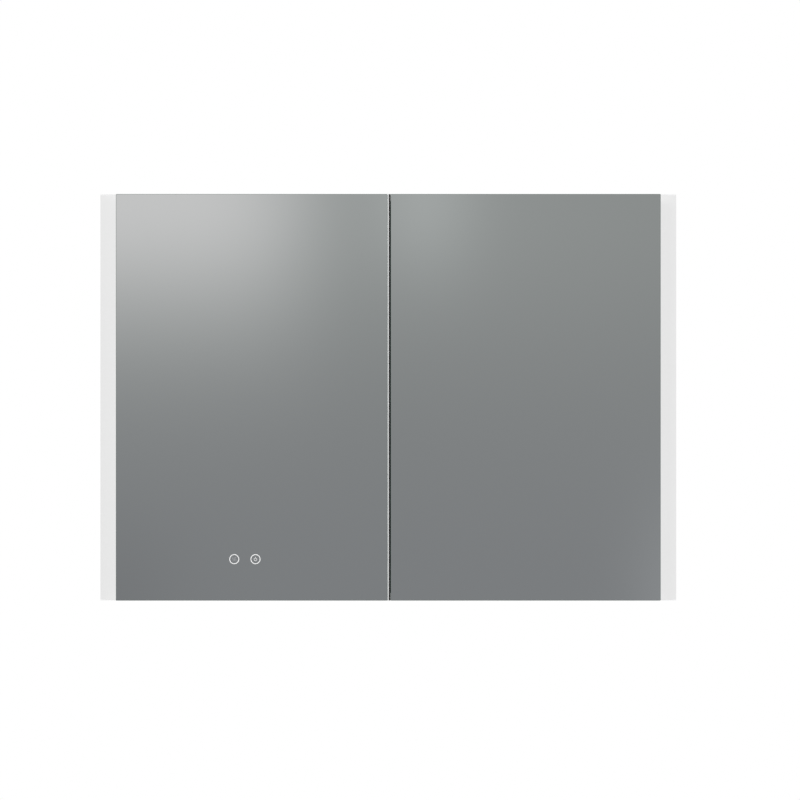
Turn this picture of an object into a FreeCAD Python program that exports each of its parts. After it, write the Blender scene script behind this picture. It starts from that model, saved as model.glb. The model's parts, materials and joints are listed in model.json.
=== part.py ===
import FreeCAD, Part
import os
import re
import Sketcher

# Two-door mirror cabinet for a bathroom wall, with a lit column at each end.
#
# Frame: +X to the right as seen from in front, +Z up, the wall is the plane y = 0 and the
# front of the doors faces -Y. The origin is the middle of the case's lower back edge.
# All sizes are millimetres.

TOLERANCE = 0.01
TERMINAL_WAYS = 5
LEFT, RIGHT = -1, 1
LOWER, UPPER = -1, 1
SIDE_NAMES = {LEFT: "left", RIGHT: "right"}
END_NAMES = {LOWER: "lower", UPPER: "upper"}

# Driving sizes: alias, value, what it is.
SIZES = [
    ("overall_width", 1000, "over both light columns"),
    ("door_height", 705, "height of the doors and of the light columns"),
    ("overall_depth", 145, "wall to the face of the mirrors"),
    ("column_width", 27.5, "light column, seen from in front"),
    ("door_reveal", 0.2, "gap between a door and the light column, seen from in front"),
    ("door_gap", 3, "gap between the two doors"),
    ("split_offset", 2.6, "how far the gap between the doors lies right of the middle"),
    ("door_standoff", 2, "back of a closed door to the front of the case"),
    ("door_overhang", 12, "how far the doors reach above and below the case, as a finger grip"),
    ("front_glass", 4, "front mirror"),
    ("front_arris", 0.6, "bevel round the front mirror"),
    ("core_thickness", 16, "door core"),
    ("glass_overhang", 1, "front mirror beyond the core, all round"),
    ("core_chamfer", 2.5, "bevel on the core's hinge-side back corner"),
    ("inner_glass", 3, "mirror let into the back of a door"),
    ("inner_margin_across", 22, "door edge to inner mirror, left and right"),
    ("inner_margin_up", 55, "door end to inner mirror, top and bottom"),
    ("edge_strip", 2.5, "satin strip on the left door's free edge"),
    ("seal_play", 0.2, "gap seal to the edge of the right door"),
    ("seal_thickness", 2, "gap seal on the left door, front to back"),
    ("seal_setback", 4.5, "gap seal behind the face of the mirrors"),
    ("panel", 16, "case panels"),
    ("back_panel", 5, "back panel"),
    ("back_groove", 6, "depth of the grooves that hold the back panel"),
    ("groove_clearance", 0.2, "play of the back panel in its grooves, each way"),
    ("rear_cavity", 14, "wall to the back panel"),
    ("back_mirror", 3, "mirror lining on the back panel"),
    ("lining_clearance", 1, "back mirrors and shelves to the panels beside them"),
    ("shelf_glass", 5, "glass shelves"),
    ("shelf_depth", 88, "glass shelves, front to back"),
    ("shelf_back_gap", 2, "shelf to the back mirror"),
    ("lower_shelf_level", 233, "underside of the lower shelves"),
    ("upper_shelf_level", 449, "underside of the upper shelves"),
    ("peg_inset", 14, "peg holes from the front and back edges of a shelf"),
    ("peg_radius", 2.5, "shank of a shelf peg"),
    ("peg_depth", 7, "how deep a shelf peg goes into its hole"),
    ("hole_spare", 1, "blind holes deeper than what goes into them"),
    ("peg_tab", 8, "width and length of a shelf peg's tab"),
    ("peg_thickness", 2, "thickness of a shelf peg's tab and back"),
    ("peg_back", 12, "height of a shelf peg's back"),
    ("peg_pitch", 32, "spacing of the peg holes"),
    ("pivot_inset", 8, "pivot axis from the door's outer edge"),
    ("pivot_ahead", 9, "pivot axis in front of the door's back face"),
    ("pivot_plate", 3, "thickness of a pivot plate"),
    ("pivot_arm_radius", 5, "half width of a pivot plate's arm and its rounded nose"),
    ("pivot_foot_length", 32, "foot of a pivot plate on the case, front to back"),
    ("pivot_foot_width", 26, "foot of a pivot plate on the case, across"),
    ("pivot_foot_setback", 3, "foot of a pivot plate behind the case front"),
    ("pivot_screw_side", 6, "pivot plate screws from the inner side of the foot"),
    ("pivot_screw_end", 8, "pivot plate screws from the ends of the foot"),
    ("pin_radius", 2.5, "pivot pin"),
    ("pin_reach", 11, "pivot pin below its plate"),
    ("running_clearance", 0.06, "pin in bush, on the radius"),
    ("bush_radius", 4.5, "pivot bush"),
    ("bush_length", 12, "pivot bush in the door core"),
    ("bush_flange", 6.2, "radius of the bush's flange"),
    ("flange_thickness", 1.2, "bush flange"),
    ("thrust_gap", 0.4, "bush flange to pivot plate"),
    ("notch_width", 20, "notch in the core's hinge-side corners, for the pivot plates"),
    ("bumper_radius", 4, "door bumper"),
    ("bumper_thickness", 1.7, "door bumper"),
    ("bumper_inset", 26, "door bumper from the door's free edge"),
    ("catch_length", 40, "magnetic catch"),
    ("catch_height", 14, "magnetic catch"),
    ("catch_depth", 15, "magnetic catch"),
    ("catch_inset", 4, "magnetic catch to the divider"),
    ("catch_ear", 3, "floor of a magnetic catch under its screw heads"),
    ("catch_screw_side", 6, "catch screws from the ends of the catch"),
    ("catch_screw_setback", 8.5, "catch screws behind the case front"),
    ("strike_thickness", 1.2, "steel strike plate on the door"),
    ("strike_length", 34, "steel strike plate on the door"),
    ("strike_margin", 1, "strike plate within the height of the catch"),
    ("diffuser_wall", 3, "frosted diffuser"),
    ("diffuser_return", 23, "how far the diffuser goes back round the outer side"),
    ("channel_wall", 1.5, "light channel extrusion"),
    ("channel_screw_ahead", 12, "channel screws in front of the back panel"),
    ("channel_screw_end", 2, "channel screws beyond the wall of the channel"),
    ("cap_thickness", 2, "end cap of a light column"),
    ("board_thickness", 1.2, "led board"),
    ("board_width", 12, "led board"),
    ("board_end_gap", 12, "led board to the end caps"),
    ("chip_width", 3, "led chip, across the board"),
    ("chip_length", 2.8, "led chip, along the board"),
    ("chip_thickness", 0.9, "led chip"),
    ("chip_pitch", 16, "spacing of the led chips"),
    ("chip_margin", 5, "end of the led board kept free of chips"),
    ("cover_wall", 1.2, "sheet of the electrics cover"),
    ("cover_height", 55, "electrics compartment, under the case top"),
    ("cover_depth", 54, "electrics compartment, in front of the back panel"),
    ("cover_flange", 12, "fixing flange of the electrics cover"),
    ("cover_screw_end", 3, "cover screws beyond the back panel"),
    ("driver_length", 150, "led driver"),
    ("driver_height", 28, "led driver"),
    ("driver_depth", 40, "led driver"),
    ("driver_inset", 110, "led driver from the left side panel"),
    ("driver_bevel", 1.5, "bevel on the led driver's upright corners"),
    ("terminal_length", 60, "terminal block"),
    ("terminal_height", 22, "terminal block"),
    ("terminal_depth", 18, "terminal block"),
    ("mouth_margin", 2, "wire mouth to the side of its way"),
    ("mouth_low", 3, "lower edge of the wire mouths in the terminal block"),
    ("mouth_high", 9, "upper edge of the wire mouths in the terminal block"),
    ("mouth_depth", 8, "wire mouths in the terminal block"),
    ("electrics_drop", 14, "driver and terminal block below the case top"),
    ("terminal_gap", 30, "led driver to terminal block"),
    ("cable_radius", 6, "bore of the cable grommet"),
    ("grommet_wall", 2, "grommet wall in the back panel"),
    ("grommet_flange", 12, "radius of the grommet's flanges"),
    ("grommet_lip", 1.5, "thickness of the grommet's flanges"),
    ("cable_inset", 70, "cable entry left of the middle"),
    ("cable_drop", 28, "cable entry below the case top"),
    ("rail_gauge", 2, "wall rail and hanging cleat"),
    ("rail_length", 880, "wall rail"),
    ("cleat_length", 860, "hanging cleat"),
    ("rail_drop", 73, "top of the wall rail below the top of the case"),
    ("rail_height", 48, "wall rail"),
    ("rail_lip", 13, "raised lip of the wall rail"),
    ("rail_offset", 8, "front of the wall rail's lip from the wall"),
    ("cleat_height", 32, "hanging cleat"),
    ("cleat_lip", 10, "lip of the hanging cleat behind the wall rail"),
    ("cleat_play", 1, "lip of the hanging cleat to the lip of the wall rail"),
    ("cleat_screw_rise", 12, "cleat screws above the lower edge of the cleat"),
    ("wall_hole_radius", 3, "screw holes of the wall rail"),
    ("wall_hole_drop", 32, "screw holes below the top of the wall rail"),
    ("outer_hole_spacing", 800, "outer screw holes of the wall rail"),
    ("inner_hole_spacing", 320, "inner screw holes of the wall rail"),
    ("screw_radius", 1.75, "shank of the small screws"),
    ("screw_head_radius", 3.4, "head of the small screws"),
    ("screw_head", 1.6, "head height of the small screws"),
    ("screw_length", 12, "shank length of the small screws"),
    ("case_screw_radius", 2.5, "shank of the case screws"),
    ("case_screw_head", 4.5, "head radius of the case screws"),
    ("case_screw_sink", 3, "head height of the case screws, sunk in the side panels"),
    ("case_screw_length", 45, "case screws, head and shank"),
    ("case_screw_inset", 46, "case screws from the front and the back of the case"),
    ("screw_clearance", 0.1, "hole beyond screw, on the radius"),
    ("pad_width", 320, "demister pad"),
    ("pad_height", 240, "demister pad"),
    ("pad_thickness", 0.4, "demister pad"),
    ("pad_recess", 0.5, "recess for the demister pad"),
    ("icon_level", 59.8, "touch icons above the lower end of the case"),
    ("icon_first", 267.1, "first touch icon left of the middle"),
    ("icon_second", 230.3, "second touch icon left of the middle"),
    ("icon_radius", 8.6, "touch ring, outside"),
    ("icon_stroke", 1.2, "touch ring, width of its line"),
    ("icon_inlay", 0.3, "depth of the touch rings in the mirror"),
    ("inlay_clearance", 0.05, "touch ring in its groove"),
    ("sensor_length", 78, "touch sensor module"),
    ("sensor_height", 24, "touch sensor module"),
    ("sensor_thickness", 4.5, "touch sensor module"),
    ("sensor_recess", 5, "recess for the touch sensor module"),
    ("fit_clearance", 0.5, "play round a part in its recess"),
]

# Places that follow from the driving sizes.
DERIVED = {
    "case_half": "overall_width / 2 - column_width",
    "bay_half": "case_half - panel",
    "case_height": "door_height - 2 * door_overhang",
    "case_front": "door_back + door_standoff",
    "door_back": "core_thickness + front_glass - overall_depth",
    "door_front": "-overall_depth",
    "core_front": "front_glass - overall_depth",
    "door_low": "-door_overhang",
    "door_high": "case_height + door_overhang",
    "door_outer": "case_half - door_reveal",
    "left_free_edge": "split_offset - door_gap / 2",
    "right_free_edge": "split_offset + door_gap / 2",
    "back_rear": "-rear_cavity",
    "back_front": "-rear_cavity - back_panel",
    "lining_front": "back_front - back_mirror",
    "bay_floor": "panel",
    "bay_ceiling": "case_height - panel",
    "shelf_back": "lining_front - shelf_back_gap",
    "shelf_front": "shelf_back - shelf_depth",
    "front_peg": "shelf_front + peg_inset",
    "back_peg": "shelf_back - peg_inset",
    "peg_drop": "peg_back / 2",
    "pivot_out": "door_outer - pivot_inset",
    "pivot_depth": "door_back - pivot_ahead",
    "notch_depth": "door_overhang + thrust_gap + flange_thickness",
    "cover_floor": "bay_ceiling - cover_height",
    "cover_front": "back_front - cover_depth",
    "electrics_top": "bay_ceiling - electrics_drop",
    "driver_start": "driver_inset - bay_half",
    "terminal_start": "driver_start + driver_length + terminal_gap",
    "cable_level": "bay_ceiling - cable_drop",
    "rail_top": "case_height - rail_drop",
    "web_front": "case_front + diffuser_return",
    "icon_middle": "(icon_first + icon_second) / 2",
}

ALIASES = {name for name, _, _ in SIZES}

document = FreeCAD.newDocument("MirrorCabinet")
sheet = document.addObject("Spreadsheet::Sheet", "Sizes")
for row, (alias, size, meaning) in enumerate(SIZES, start=1):
    sheet.set(f"A{row}", alias)
    sheet.set(f"B{row}", str(size))
    sheet.setAlias(f"B{row}", alias)
    sheet.set(f"C{row}", meaning)
document.recompute()

nodes = []


# ---------------------------------------------------------------- expressions

def expand(text):
    """Turn size names into cell references and derived names into their formulas."""
    def swap(found):
        word = found.group(0)
        if word in DERIVED:
            return "(" + expand(DERIVED[word]) + ")"
        if word in ALIASES:
            return "Sizes." + word
        raise NameError(word)
    return re.sub(r"[a-z][a-z_]*", swap, str(text))


def number(text):
    """The present value of an expression."""
    return float(sheet.evalExpression(expand(text)))


def bind(thing, prop, text):
    thing.setExpression(prop, expand(text))


def span(side, near, far):
    """Low and high end, along X, of a stretch near..far from the middle on one side."""
    if side == LEFT:
        return f"-({far})", f"-({near})"
    return near, far


def mirrored(side, text):
    return f"{side} * ({text})"


# ---------------------------------------------------------------- sketched bodies

# Each view names an origin plane, and the axis along its normal with the normal's sense.
VIEWS = {
    "plan": ("XY_Plane", "z", 1),
    "front": ("XZ_Plane", "y", -1),
    "side": ("YZ_Plane", "x", 1),
}


def rectangle(left, right, low, high):
    return [(left, low), (right, low), (right, high), (left, high)]


def circle(across, up, radius):
    return across, up, radius


def draw_polygon(sketch, corners):
    """A closed outline, each corner held by its two distances from the sketch's origin."""
    points = [FreeCAD.Vector(number(across), number(up), 0) for across, up in corners]
    first = sketch.GeometryCount
    count = len(points)
    for index in range(count):
        sketch.addGeometry(Part.LineSegment(points[index], points[(index + 1) % count]), False)
    for index in range(count):
        following = first + (index + 1) % count
        sketch.addConstraint(Sketcher.Constraint("Coincident", first + index, 2, following, 1))
    for index, corner in enumerate(corners):
        for kind, text in zip(("DistanceX", "DistanceY"), corner):
            rule = Sketcher.Constraint(kind, -1, 1, first + index, 1, number(text))
            place = sketch.addConstraint(rule)
            bind(sketch, f"Constraints[{place}]", text)


def draw_circle(sketch, across, up, radius):
    centre = FreeCAD.Vector(number(across), number(up), 0)
    round_edge = Part.Circle(centre, FreeCAD.Vector(0, 0, 1), number(radius))
    geometry = sketch.addGeometry(round_edge, False)
    for kind, text in (("DistanceX", across), ("DistanceY", up)):
        rule = Sketcher.Constraint(kind, -1, 1, geometry, 3, number(text))
        place = sketch.addConstraint(rule)
        bind(sketch, f"Constraints[{place}]", text)
    place = sketch.addConstraint(Sketcher.Constraint("Radius", geometry, number(radius)))
    bind(sketch, f"Constraints[{place}]", radius)


def new_body(label):
    body = document.addObject("PartDesign::Body", label)
    body.Label = label
    nodes.append(body)
    return body


def new_sketch(body, view, level, outlines):
    """A sketch on the body's own origin plane, moved along the plane's normal to a level."""
    role, _, sense = VIEWS[view]
    plane = next(item for item in body.Origin.OriginFeatures if item.Role == role)
    sketch = body.newObject("Sketcher::SketchObject", body.Name + "_outline")
    sketch.AttachmentSupport = (plane, [""])
    sketch.MapMode = "FlatFace"
    bind(sketch, "AttachmentOffset.Base.z", f"{sense} * ({level})")
    for outline in outlines:
        if isinstance(outline, tuple):
            draw_circle(sketch, *outline)
        else:
            draw_polygon(sketch, outline)
    return sketch


def pad(body, view, outlines, low, high):
    """Material between two levels along the view's axis."""
    sense = VIEWS[view][2]
    start = low if sense == 1 else high
    feature = body.newObject("PartDesign::Pad", body.Name + "_pad")
    feature.Profile = new_sketch(body, view, start, outlines)
    bind(feature, "Length", f"{high} - ({low})")
    body.Tip = feature
    return feature


def pocket(body, view, outlines, low, high):
    """A cut between two levels along the view's axis."""
    document.recompute()
    before = body.Shape.Volume
    sense = VIEWS[view][2]
    start = high if sense == 1 else low
    feature = body.newObject("PartDesign::Pocket", body.Name + "_pocket")
    feature.Profile = new_sketch(body, view, start, outlines)
    bind(feature, "Length", f"{high} - ({low})")
    body.Tip = feature
    document.recompute()
    if body.Shape.Volume > before - 0.01:
        raise RuntimeError(f"a pocket of {body.Label} cuts nothing")
    return feature


def on_plane(box, depth):
    """Whether a bounding box is flat and lies at a depth."""
    return abs(box.YMin - depth) + abs(box.YMax - depth) < TOLERANCE


def bevel(body, size, on_edge):
    """A chamfer on the edges of the body's tip that on_edge accepts by bounding box."""
    document.recompute()
    base = body.Tip
    edges = base.Shape.Edges
    names = [f"Edge{index}" for index, edge in enumerate(edges, 1) if on_edge(edge.BoundBox)]
    feature = body.newObject("PartDesign::Chamfer", body.Name + "_bevel")
    feature.Base = (base, names)
    bind(feature, "Size", size)
    body.Tip = feature
    document.recompute()


def board(label, across, depth, up):
    """A rectangular piece, given as (low, high) along X, Y and Z. Its Placement is its foot."""
    body = new_body(label)
    pad(body, "plan", [rectangle(*across, *depth)], "0", f"{up[1]} - ({up[0]})")
    bind(body, "Placement.Base.z", up[0])
    return body


# ---------------------------------------------------------------- primitives

TURNS = {
    "+z": FreeCAD.Rotation(),
    "-z": FreeCAD.Rotation(FreeCAD.Vector(1, 0, 0), 180),
    "+x": FreeCAD.Rotation(FreeCAD.Vector(0, 1, 0), 90),
    "-x": FreeCAD.Rotation(FreeCAD.Vector(0, 1, 0), -90),
    "+y": FreeCAD.Rotation(FreeCAD.Vector(1, 0, 0), -90),
    "-y": FreeCAD.Rotation(FreeCAD.Vector(1, 0, 0), 90),
}


def place(thing, at, turn="+z"):
    thing.Placement = FreeCAD.Placement(FreeCAD.Vector(), TURNS[turn])
    for axis, text in zip("xyz", at):
        bind(thing, "Placement.Base." + axis, text)
    return thing


def cylinder(radius, length, at, turn="+z"):
    """A cylinder that starts at a point and runs along one axis."""
    thing = document.addObject("Part::Cylinder", "cylinder")
    bind(thing, "Radius", radius)
    bind(thing, "Height", length)
    return place(thing, at, turn)


def block(across, depth, up):
    thing = document.addObject("Part::Box", "block")
    bind(thing, "Length", f"{across[1]} - ({across[0]})")
    bind(thing, "Width", f"{depth[1]} - ({depth[0]})")
    bind(thing, "Height", f"{up[1]} - ({up[0]})")
    return place(thing, (across[0], depth[0], up[0]))


def joined(pieces, label="joined"):
    thing = document.addObject("Part::MultiFuse", label)
    thing.Shapes = pieces
    return thing


def cut(base, tool, label="cut"):
    thing = document.addObject("Part::Cut", label)
    thing.Base = base
    thing.Tool = tool
    return thing


def node(thing, label):
    """Name a finished object and list it for export."""
    thing.Label = label
    nodes.append(thing)
    return thing


def group(label, pieces):
    """Identical separate solids under one name."""
    thing = document.addObject("Part::Compound", label)
    thing.Links = pieces
    return node(thing, label)


BACKWARDS = {"+x": "-x", "-x": "+x", "+y": "-y", "-y": "+y", "+z": "-z", "-z": "+z"}


def screw(at, turn, length="screw_length"):
    """A pan-head screw whose head rests at a point and whose shank runs along an axis."""
    shank = cylinder("screw_radius", length, at, turn)
    head = cylinder("screw_head_radius", "screw_head", at, BACKWARDS[turn])
    return joined([shank, head])


SCREW_HOLE = "screw_radius + screw_clearance"


# ---------------------------------------------------------------- the case

def peg_hole_levels():
    """Peg holes: one at each shelf and one pitch above and below it."""
    return [
        f"{shelf} - peg_drop + {step} * peg_pitch"
        for shelf in ("lower_shelf_level", "upper_shelf_level")
        for step in (-1, 0, 1)
    ]


def peg_holes():
    return [
        circle(depth, level, "peg_radius + screw_clearance")
        for depth in ("front_peg", "back_peg")
        for level in peg_hole_levels()
    ]


def case_screw_depths():
    return ["case_front + case_screw_inset", "-case_screw_inset"]


def case_screw_levels():
    return ["panel / 2", "case_height - panel / 2"]


def channel_screw_levels():
    """Between the shelves, so that no screw head meets the glass."""
    return [
        "lower_shelf_level / 2",
        "(lower_shelf_level + upper_shelf_level) / 2",
        "(upper_shelf_level + cover_floor) / 2",
    ]


CHANNEL_SCREW_DEPTH = "back_front - channel_screw_ahead"


def make_side(side):
    """A side panel: a groove for the back, peg holes, and sunk holes for the case screws."""
    body = new_body(f"case_{SIDE_NAMES[side]}_side")
    inner = mirrored(side, "bay_half")
    outer = mirrored(side, "case_half")
    groove = mirrored(side, "bay_half + back_groove")
    groove_front = "back_front - groove_clearance"
    groove_back = "back_rear + groove_clearance"
    plan = [
        (outer, "case_front"), (inner, "case_front"), (inner, groove_front),
        (groove, groove_front), (groove, groove_back), (inner, groove_back),
        (inner, "0"), (outer, "0"),
    ]
    pad(body, "plan", [plan], "0", "case_height")
    pocket(body, "side", peg_holes(), *span(side, "bay_half", "bay_half + peg_depth + hole_spare"))
    case_screws = [(depth, level) for depth in case_screw_depths() for level in case_screw_levels()]
    shanks = [circle(*spot, "case_screw_radius + screw_clearance") for spot in case_screws]
    heads = [circle(*spot, "case_screw_head + screw_clearance") for spot in case_screws]
    pocket(body, "side", shanks, *span(side, "bay_half", "case_half"))
    pocket(body, "side", heads, *span(side, "case_half - case_screw_sink", "case_half"))
    channel_holes = [circle(CHANNEL_SCREW_DEPTH, level, SCREW_HOLE) for level in channel_screw_levels()]
    pocket(body, "side", channel_holes, *span(side, "bay_half", "case_half"))
    return body


def pivot_screws(side):
    """Where the two screws of a pivot plate go, in plan."""
    across = mirrored(side, "pivot_out + pivot_arm_radius - pivot_foot_width + pivot_screw_side")
    foot = "case_front + pivot_foot_setback"
    return [
        (across, f"{foot} + pivot_screw_end"),
        (across, f"{foot} + pivot_foot_length - pivot_screw_end"),
    ]


def make_end(end):
    """The top or the bottom of the case, between the sides."""
    label = {LOWER: "case_bottom", UPPER: "case_top"}[end]
    low = {LOWER: "0", UPPER: "bay_ceiling"}[end]
    high = {LOWER: "bay_floor", UPPER: "case_height"}[end]
    inner = {LOWER: high, UPPER: low}[end]
    groove = {LOWER: "bay_floor - back_groove", UPPER: "bay_ceiling + back_groove"}[end]
    outer = {LOWER: low, UPPER: high}[end]
    body = new_body(label)
    profile = [
        ("case_front", outer), ("case_front", inner), ("back_front - groove_clearance", inner),
        ("back_front - groove_clearance", groove), ("back_rear + groove_clearance", groove),
        ("back_rear + groove_clearance", inner), ("0", inner), ("0", outer),
    ]
    pad(body, "side", [profile], "-bay_half", "bay_half")
    pilots = [
        circle(*spot, SCREW_HOLE)
        for side in (LEFT, RIGHT)
        for spot in pivot_screws(side)
    ]
    depth = "screw_length - pivot_plate + hole_spare"
    if end == UPPER:
        pocket(body, "plan", pilots, f"case_height - ({depth})", "case_height")
    else:
        pocket(body, "plan", pilots, "0", depth)
    end_level = {LOWER: "panel / 2", UPPER: "case_height - panel / 2"}[end]
    bores = [
        circle(spot, end_level, "case_screw_radius + screw_clearance")
        for spot in case_screw_depths()
    ]
    reach = "case_screw_length - panel + hole_spare"
    pocket(body, "side", bores, "-bay_half", f"-bay_half + {reach}")
    pocket(body, "side", bores, f"bay_half - ({reach})", "bay_half")
    if end == LOWER:
        catch_pilots = [
            circle(*spot, SCREW_HOLE)
            for side in (LEFT, RIGHT)
            for spot in catch_screws(side)
        ]
        pocket(body, "plan", catch_pilots, "0", "bay_floor")
    return body


def make_case():
    for side in (LEFT, RIGHT):
        make_side(side)
    for end in (LOWER, UPPER):
        make_end(end)

    divider = board(
        "centre_divider", ("-panel / 2", "panel / 2"),
        ("case_front", "back_front"), ("bay_floor", "bay_ceiling"),
    )
    holes = [
        circle(depth, f"{level} - bay_floor", "peg_radius + screw_clearance")
        for depth in ("front_peg", "back_peg")
        for level in peg_hole_levels()
    ]
    pocket(divider, "side", holes, "-panel / 2", "panel / 2")

    back = new_body("case_back")
    reach = "back_groove - groove_clearance"
    sheet_outline = rectangle(
        f"-bay_half - ({reach})", f"bay_half + {reach}",
        f"bay_floor - ({reach})", f"bay_ceiling + {reach}",
    )
    pad(back, "front", [sheet_outline], "back_front", "back_rear")
    openings = [circle("-cable_inset", "cable_level", "cable_radius + grommet_wall")]
    openings += [circle(*spot, SCREW_HOLE) for spot in cleat_screws()]
    openings += [circle(*spot, SCREW_HOLE) for spot in cover_screws()]
    pocket(back, "front", openings, "back_front", "back_rear")

    case_screws = []
    for side in (LEFT, RIGHT):
        turn = {LEFT: "+x", RIGHT: "-x"}[side]
        for depth in case_screw_depths():
            for level in case_screw_levels():
                at = (mirrored(side, "case_half"), depth, level)
                head = cylinder("case_screw_head", "case_screw_sink", at, turn)
                shank = cylinder("case_screw_radius", "case_screw_length", at, turn)
                case_screws.append(joined([head, shank]))
    group("case_screws", case_screws)


def make_linings():
    """Back mirrors, cut short above on the left, where the electrics are."""
    for side in (LEFT, RIGHT):
        across = span(side, "panel / 2 + lining_clearance", "bay_half - lining_clearance")
        top = {LEFT: "cover_floor - lining_clearance", RIGHT: "bay_ceiling - lining_clearance"}[side]
        board(
            f"{SIDE_NAMES[side]}_back_mirror", across,
            ("lining_front", "back_front"), ("bay_floor + lining_clearance", top),
        )


def shelf_peg(face, inwards, depth, level):
    """A spoon peg: shank in the panel, a back against it and a tab under the glass."""
    turn = {1: "-x", -1: "+x"}[inwards]
    far = f"{face} + {inwards} * peg_thickness"
    tip = f"{face} + {inwards} * peg_tab"
    back_span = (face, far) if inwards == 1 else (far, face)
    tab_span = (face, tip) if inwards == 1 else (tip, face)
    depth_span = (f"{depth} - peg_tab / 2", f"{depth} + peg_tab / 2")
    shank = cylinder("peg_radius", "peg_depth", (face, depth, f"{level} - peg_drop"), turn)
    back = block(back_span, depth_span, (f"{level} - peg_back", level))
    tab = block(tab_span, depth_span, (f"{level} - peg_thickness", level))
    return joined([shank, back, tab])


def make_shelves():
    pegs = []
    for side in (LEFT, RIGHT):
        for end in (LOWER, UPPER):
            level = f"{END_NAMES[end]}_shelf_level"
            shelf = board(
                f"{END_NAMES[end]}_{SIDE_NAMES[side]}_shelf",
                span(side, "panel / 2 + lining_clearance", "bay_half - lining_clearance"),
                ("shelf_front", "shelf_back"), (level, f"{level} + shelf_glass"),
            )
            front = number("shelf_front")
            bevel(shelf, "front_arris", lambda box: on_plane(box, front))
            for depth in ("front_peg", "back_peg"):
                pegs.append(shelf_peg(mirrored(side, "bay_half"), -side, depth, level))
                pegs.append(shelf_peg(mirrored(side, "panel / 2"), side, depth, level))
    group("shelf_pegs", pegs)


# ---------------------------------------------------------------- wall fixing

def cleat_screws():
    level = "rail_top - cleat_height + cleat_screw_rise"
    return [(f"cleat_length * {tenths} / 10", level) for tenths in (-4, -1, 1, 4)]


def make_wall_fixing():
    """A rail screwed to the wall, and a cleat on the case that hooks over its raised lip."""
    rail = new_body("wall_rail")
    foot = "rail_top - rail_height"
    bend = "rail_top - rail_lip"
    lip_front = "-rail_offset"
    lip_back = "rail_gauge - rail_offset"
    profile = [
        ("0", foot), ("0", bend), (lip_back, bend), (lip_back, "rail_top"),
        (lip_front, "rail_top"), (lip_front, f"{bend} - rail_gauge"),
        ("-rail_gauge", f"{bend} - rail_gauge"), ("-rail_gauge", foot),
    ]
    pad(rail, "side", [profile], "-rail_length / 2", "rail_length / 2")
    holes = [
        circle(f"{sense} * {spacing} / 2", "rail_top - wall_hole_drop", "wall_hole_radius")
        for spacing in ("outer_hole_spacing", "inner_hole_spacing")
        for sense in (-1, 1)
    ]
    pocket(rail, "front", holes, "-rail_gauge", "0")

    cleat = new_body("hanging_cleat")
    top = "rail_top + rail_gauge"
    web_front = "back_rear"
    web_back = "back_rear + rail_gauge"
    lip_start = "rail_gauge - rail_offset + cleat_play"
    lip_end = f"{lip_start} + rail_gauge"
    profile = [
        (web_front, "rail_top - cleat_height"), (web_back, "rail_top - cleat_height"),
        (web_back, "rail_top"), (lip_start, "rail_top"), (lip_start, "rail_top - cleat_lip"),
        (lip_end, "rail_top - cleat_lip"), (lip_end, top), (web_front, top),
    ]
    pad(cleat, "side", [profile], "-cleat_length / 2", "cleat_length / 2")
    pocket(cleat, "front", [circle(*spot, SCREW_HOLE) for spot in cleat_screws()], web_front, web_back)

    screws = [
        screw((across, web_back, level), "-y", "back_panel + rail_gauge - fit_clearance")
        for across, level in cleat_screws()
    ]
    group("cleat_screws", screws)


# ---------------------------------------------------------------- light columns

def make_light(side):
    """An extruded channel, its led board, the frosted diffuser in front and two end caps."""
    name = SIDE_NAMES[side]
    inner = mirrored(side, "case_half")
    outer = mirrored(side, "overall_width / 2")
    low = "door_low + cap_thickness"
    high = "door_high - cap_thickness"

    channel = new_body(f"{name}_light_channel")
    flange = mirrored(side, "case_half + channel_wall")
    skin = mirrored(side, "overall_width / 2 - channel_wall")
    web_back = "web_front + channel_wall"
    profile = [
        (inner, "case_front + diffuser_wall"), (flange, "case_front + diffuser_wall"),
        (flange, "web_front"), (outer, "web_front"), (outer, "0"), (skin, "0"),
        (skin, web_back), (flange, web_back), (flange, "0"), (inner, "0"),
    ]
    pad(channel, "plan", [profile], low, high)
    holes = [circle(CHANNEL_SCREW_DEPTH, level, SCREW_HOLE) for level in channel_screw_levels()]
    pocket(channel, "side", holes, *span(side, "case_half", "case_half + channel_wall"))

    diffuser = new_body(f"{name}_light_diffuser")
    hollow_front = "case_front + diffuser_wall"
    hollow_side = mirrored(side, "overall_width / 2 - diffuser_wall")
    profile = [
        (inner, "case_front"), (outer, "case_front"), (outer, "web_front"),
        (hollow_side, "web_front"), (hollow_side, hollow_front), (inner, hollow_front),
    ]
    pad(diffuser, "plan", [profile], low, high)

    middle = "(case_half + channel_wall + overall_width / 2 - diffuser_wall) / 2"
    board_span = span(side, f"{middle} - board_width / 2", f"{middle} + board_width / 2")
    board_low = f"{low} + board_end_gap"
    board_high = f"{high} - board_end_gap"
    board_front = "web_front - board_thickness"
    board(f"{name}_led_board", board_span, (board_front, "web_front"), (board_low, board_high))

    chip_span = span(side, f"{middle} - chip_width / 2", f"{middle} + chip_width / 2")
    chip_count = int((number(f"{board_high} - ({board_low}) - 2 * chip_margin")) / number("chip_pitch"))
    chips = []
    for index in range(chip_count):
        level = f"case_height / 2 + ({index} - {chip_count - 1} / 2) * chip_pitch"
        chip_up = (f"{level} - chip_length / 2", f"{level} + chip_length / 2")
        chips.append(block(chip_span, (f"{board_front} - chip_thickness", board_front), chip_up))
    group(f"{name}_led_chips", chips)

    cap_span = span(side, "case_half", "overall_width / 2")
    caps = [
        block(cap_span, ("case_front", "0"), ("door_low", low)),
        block(cap_span, ("case_front", "0"), (high, "door_high")),
    ]
    group(f"{name}_light_caps", caps)


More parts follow.
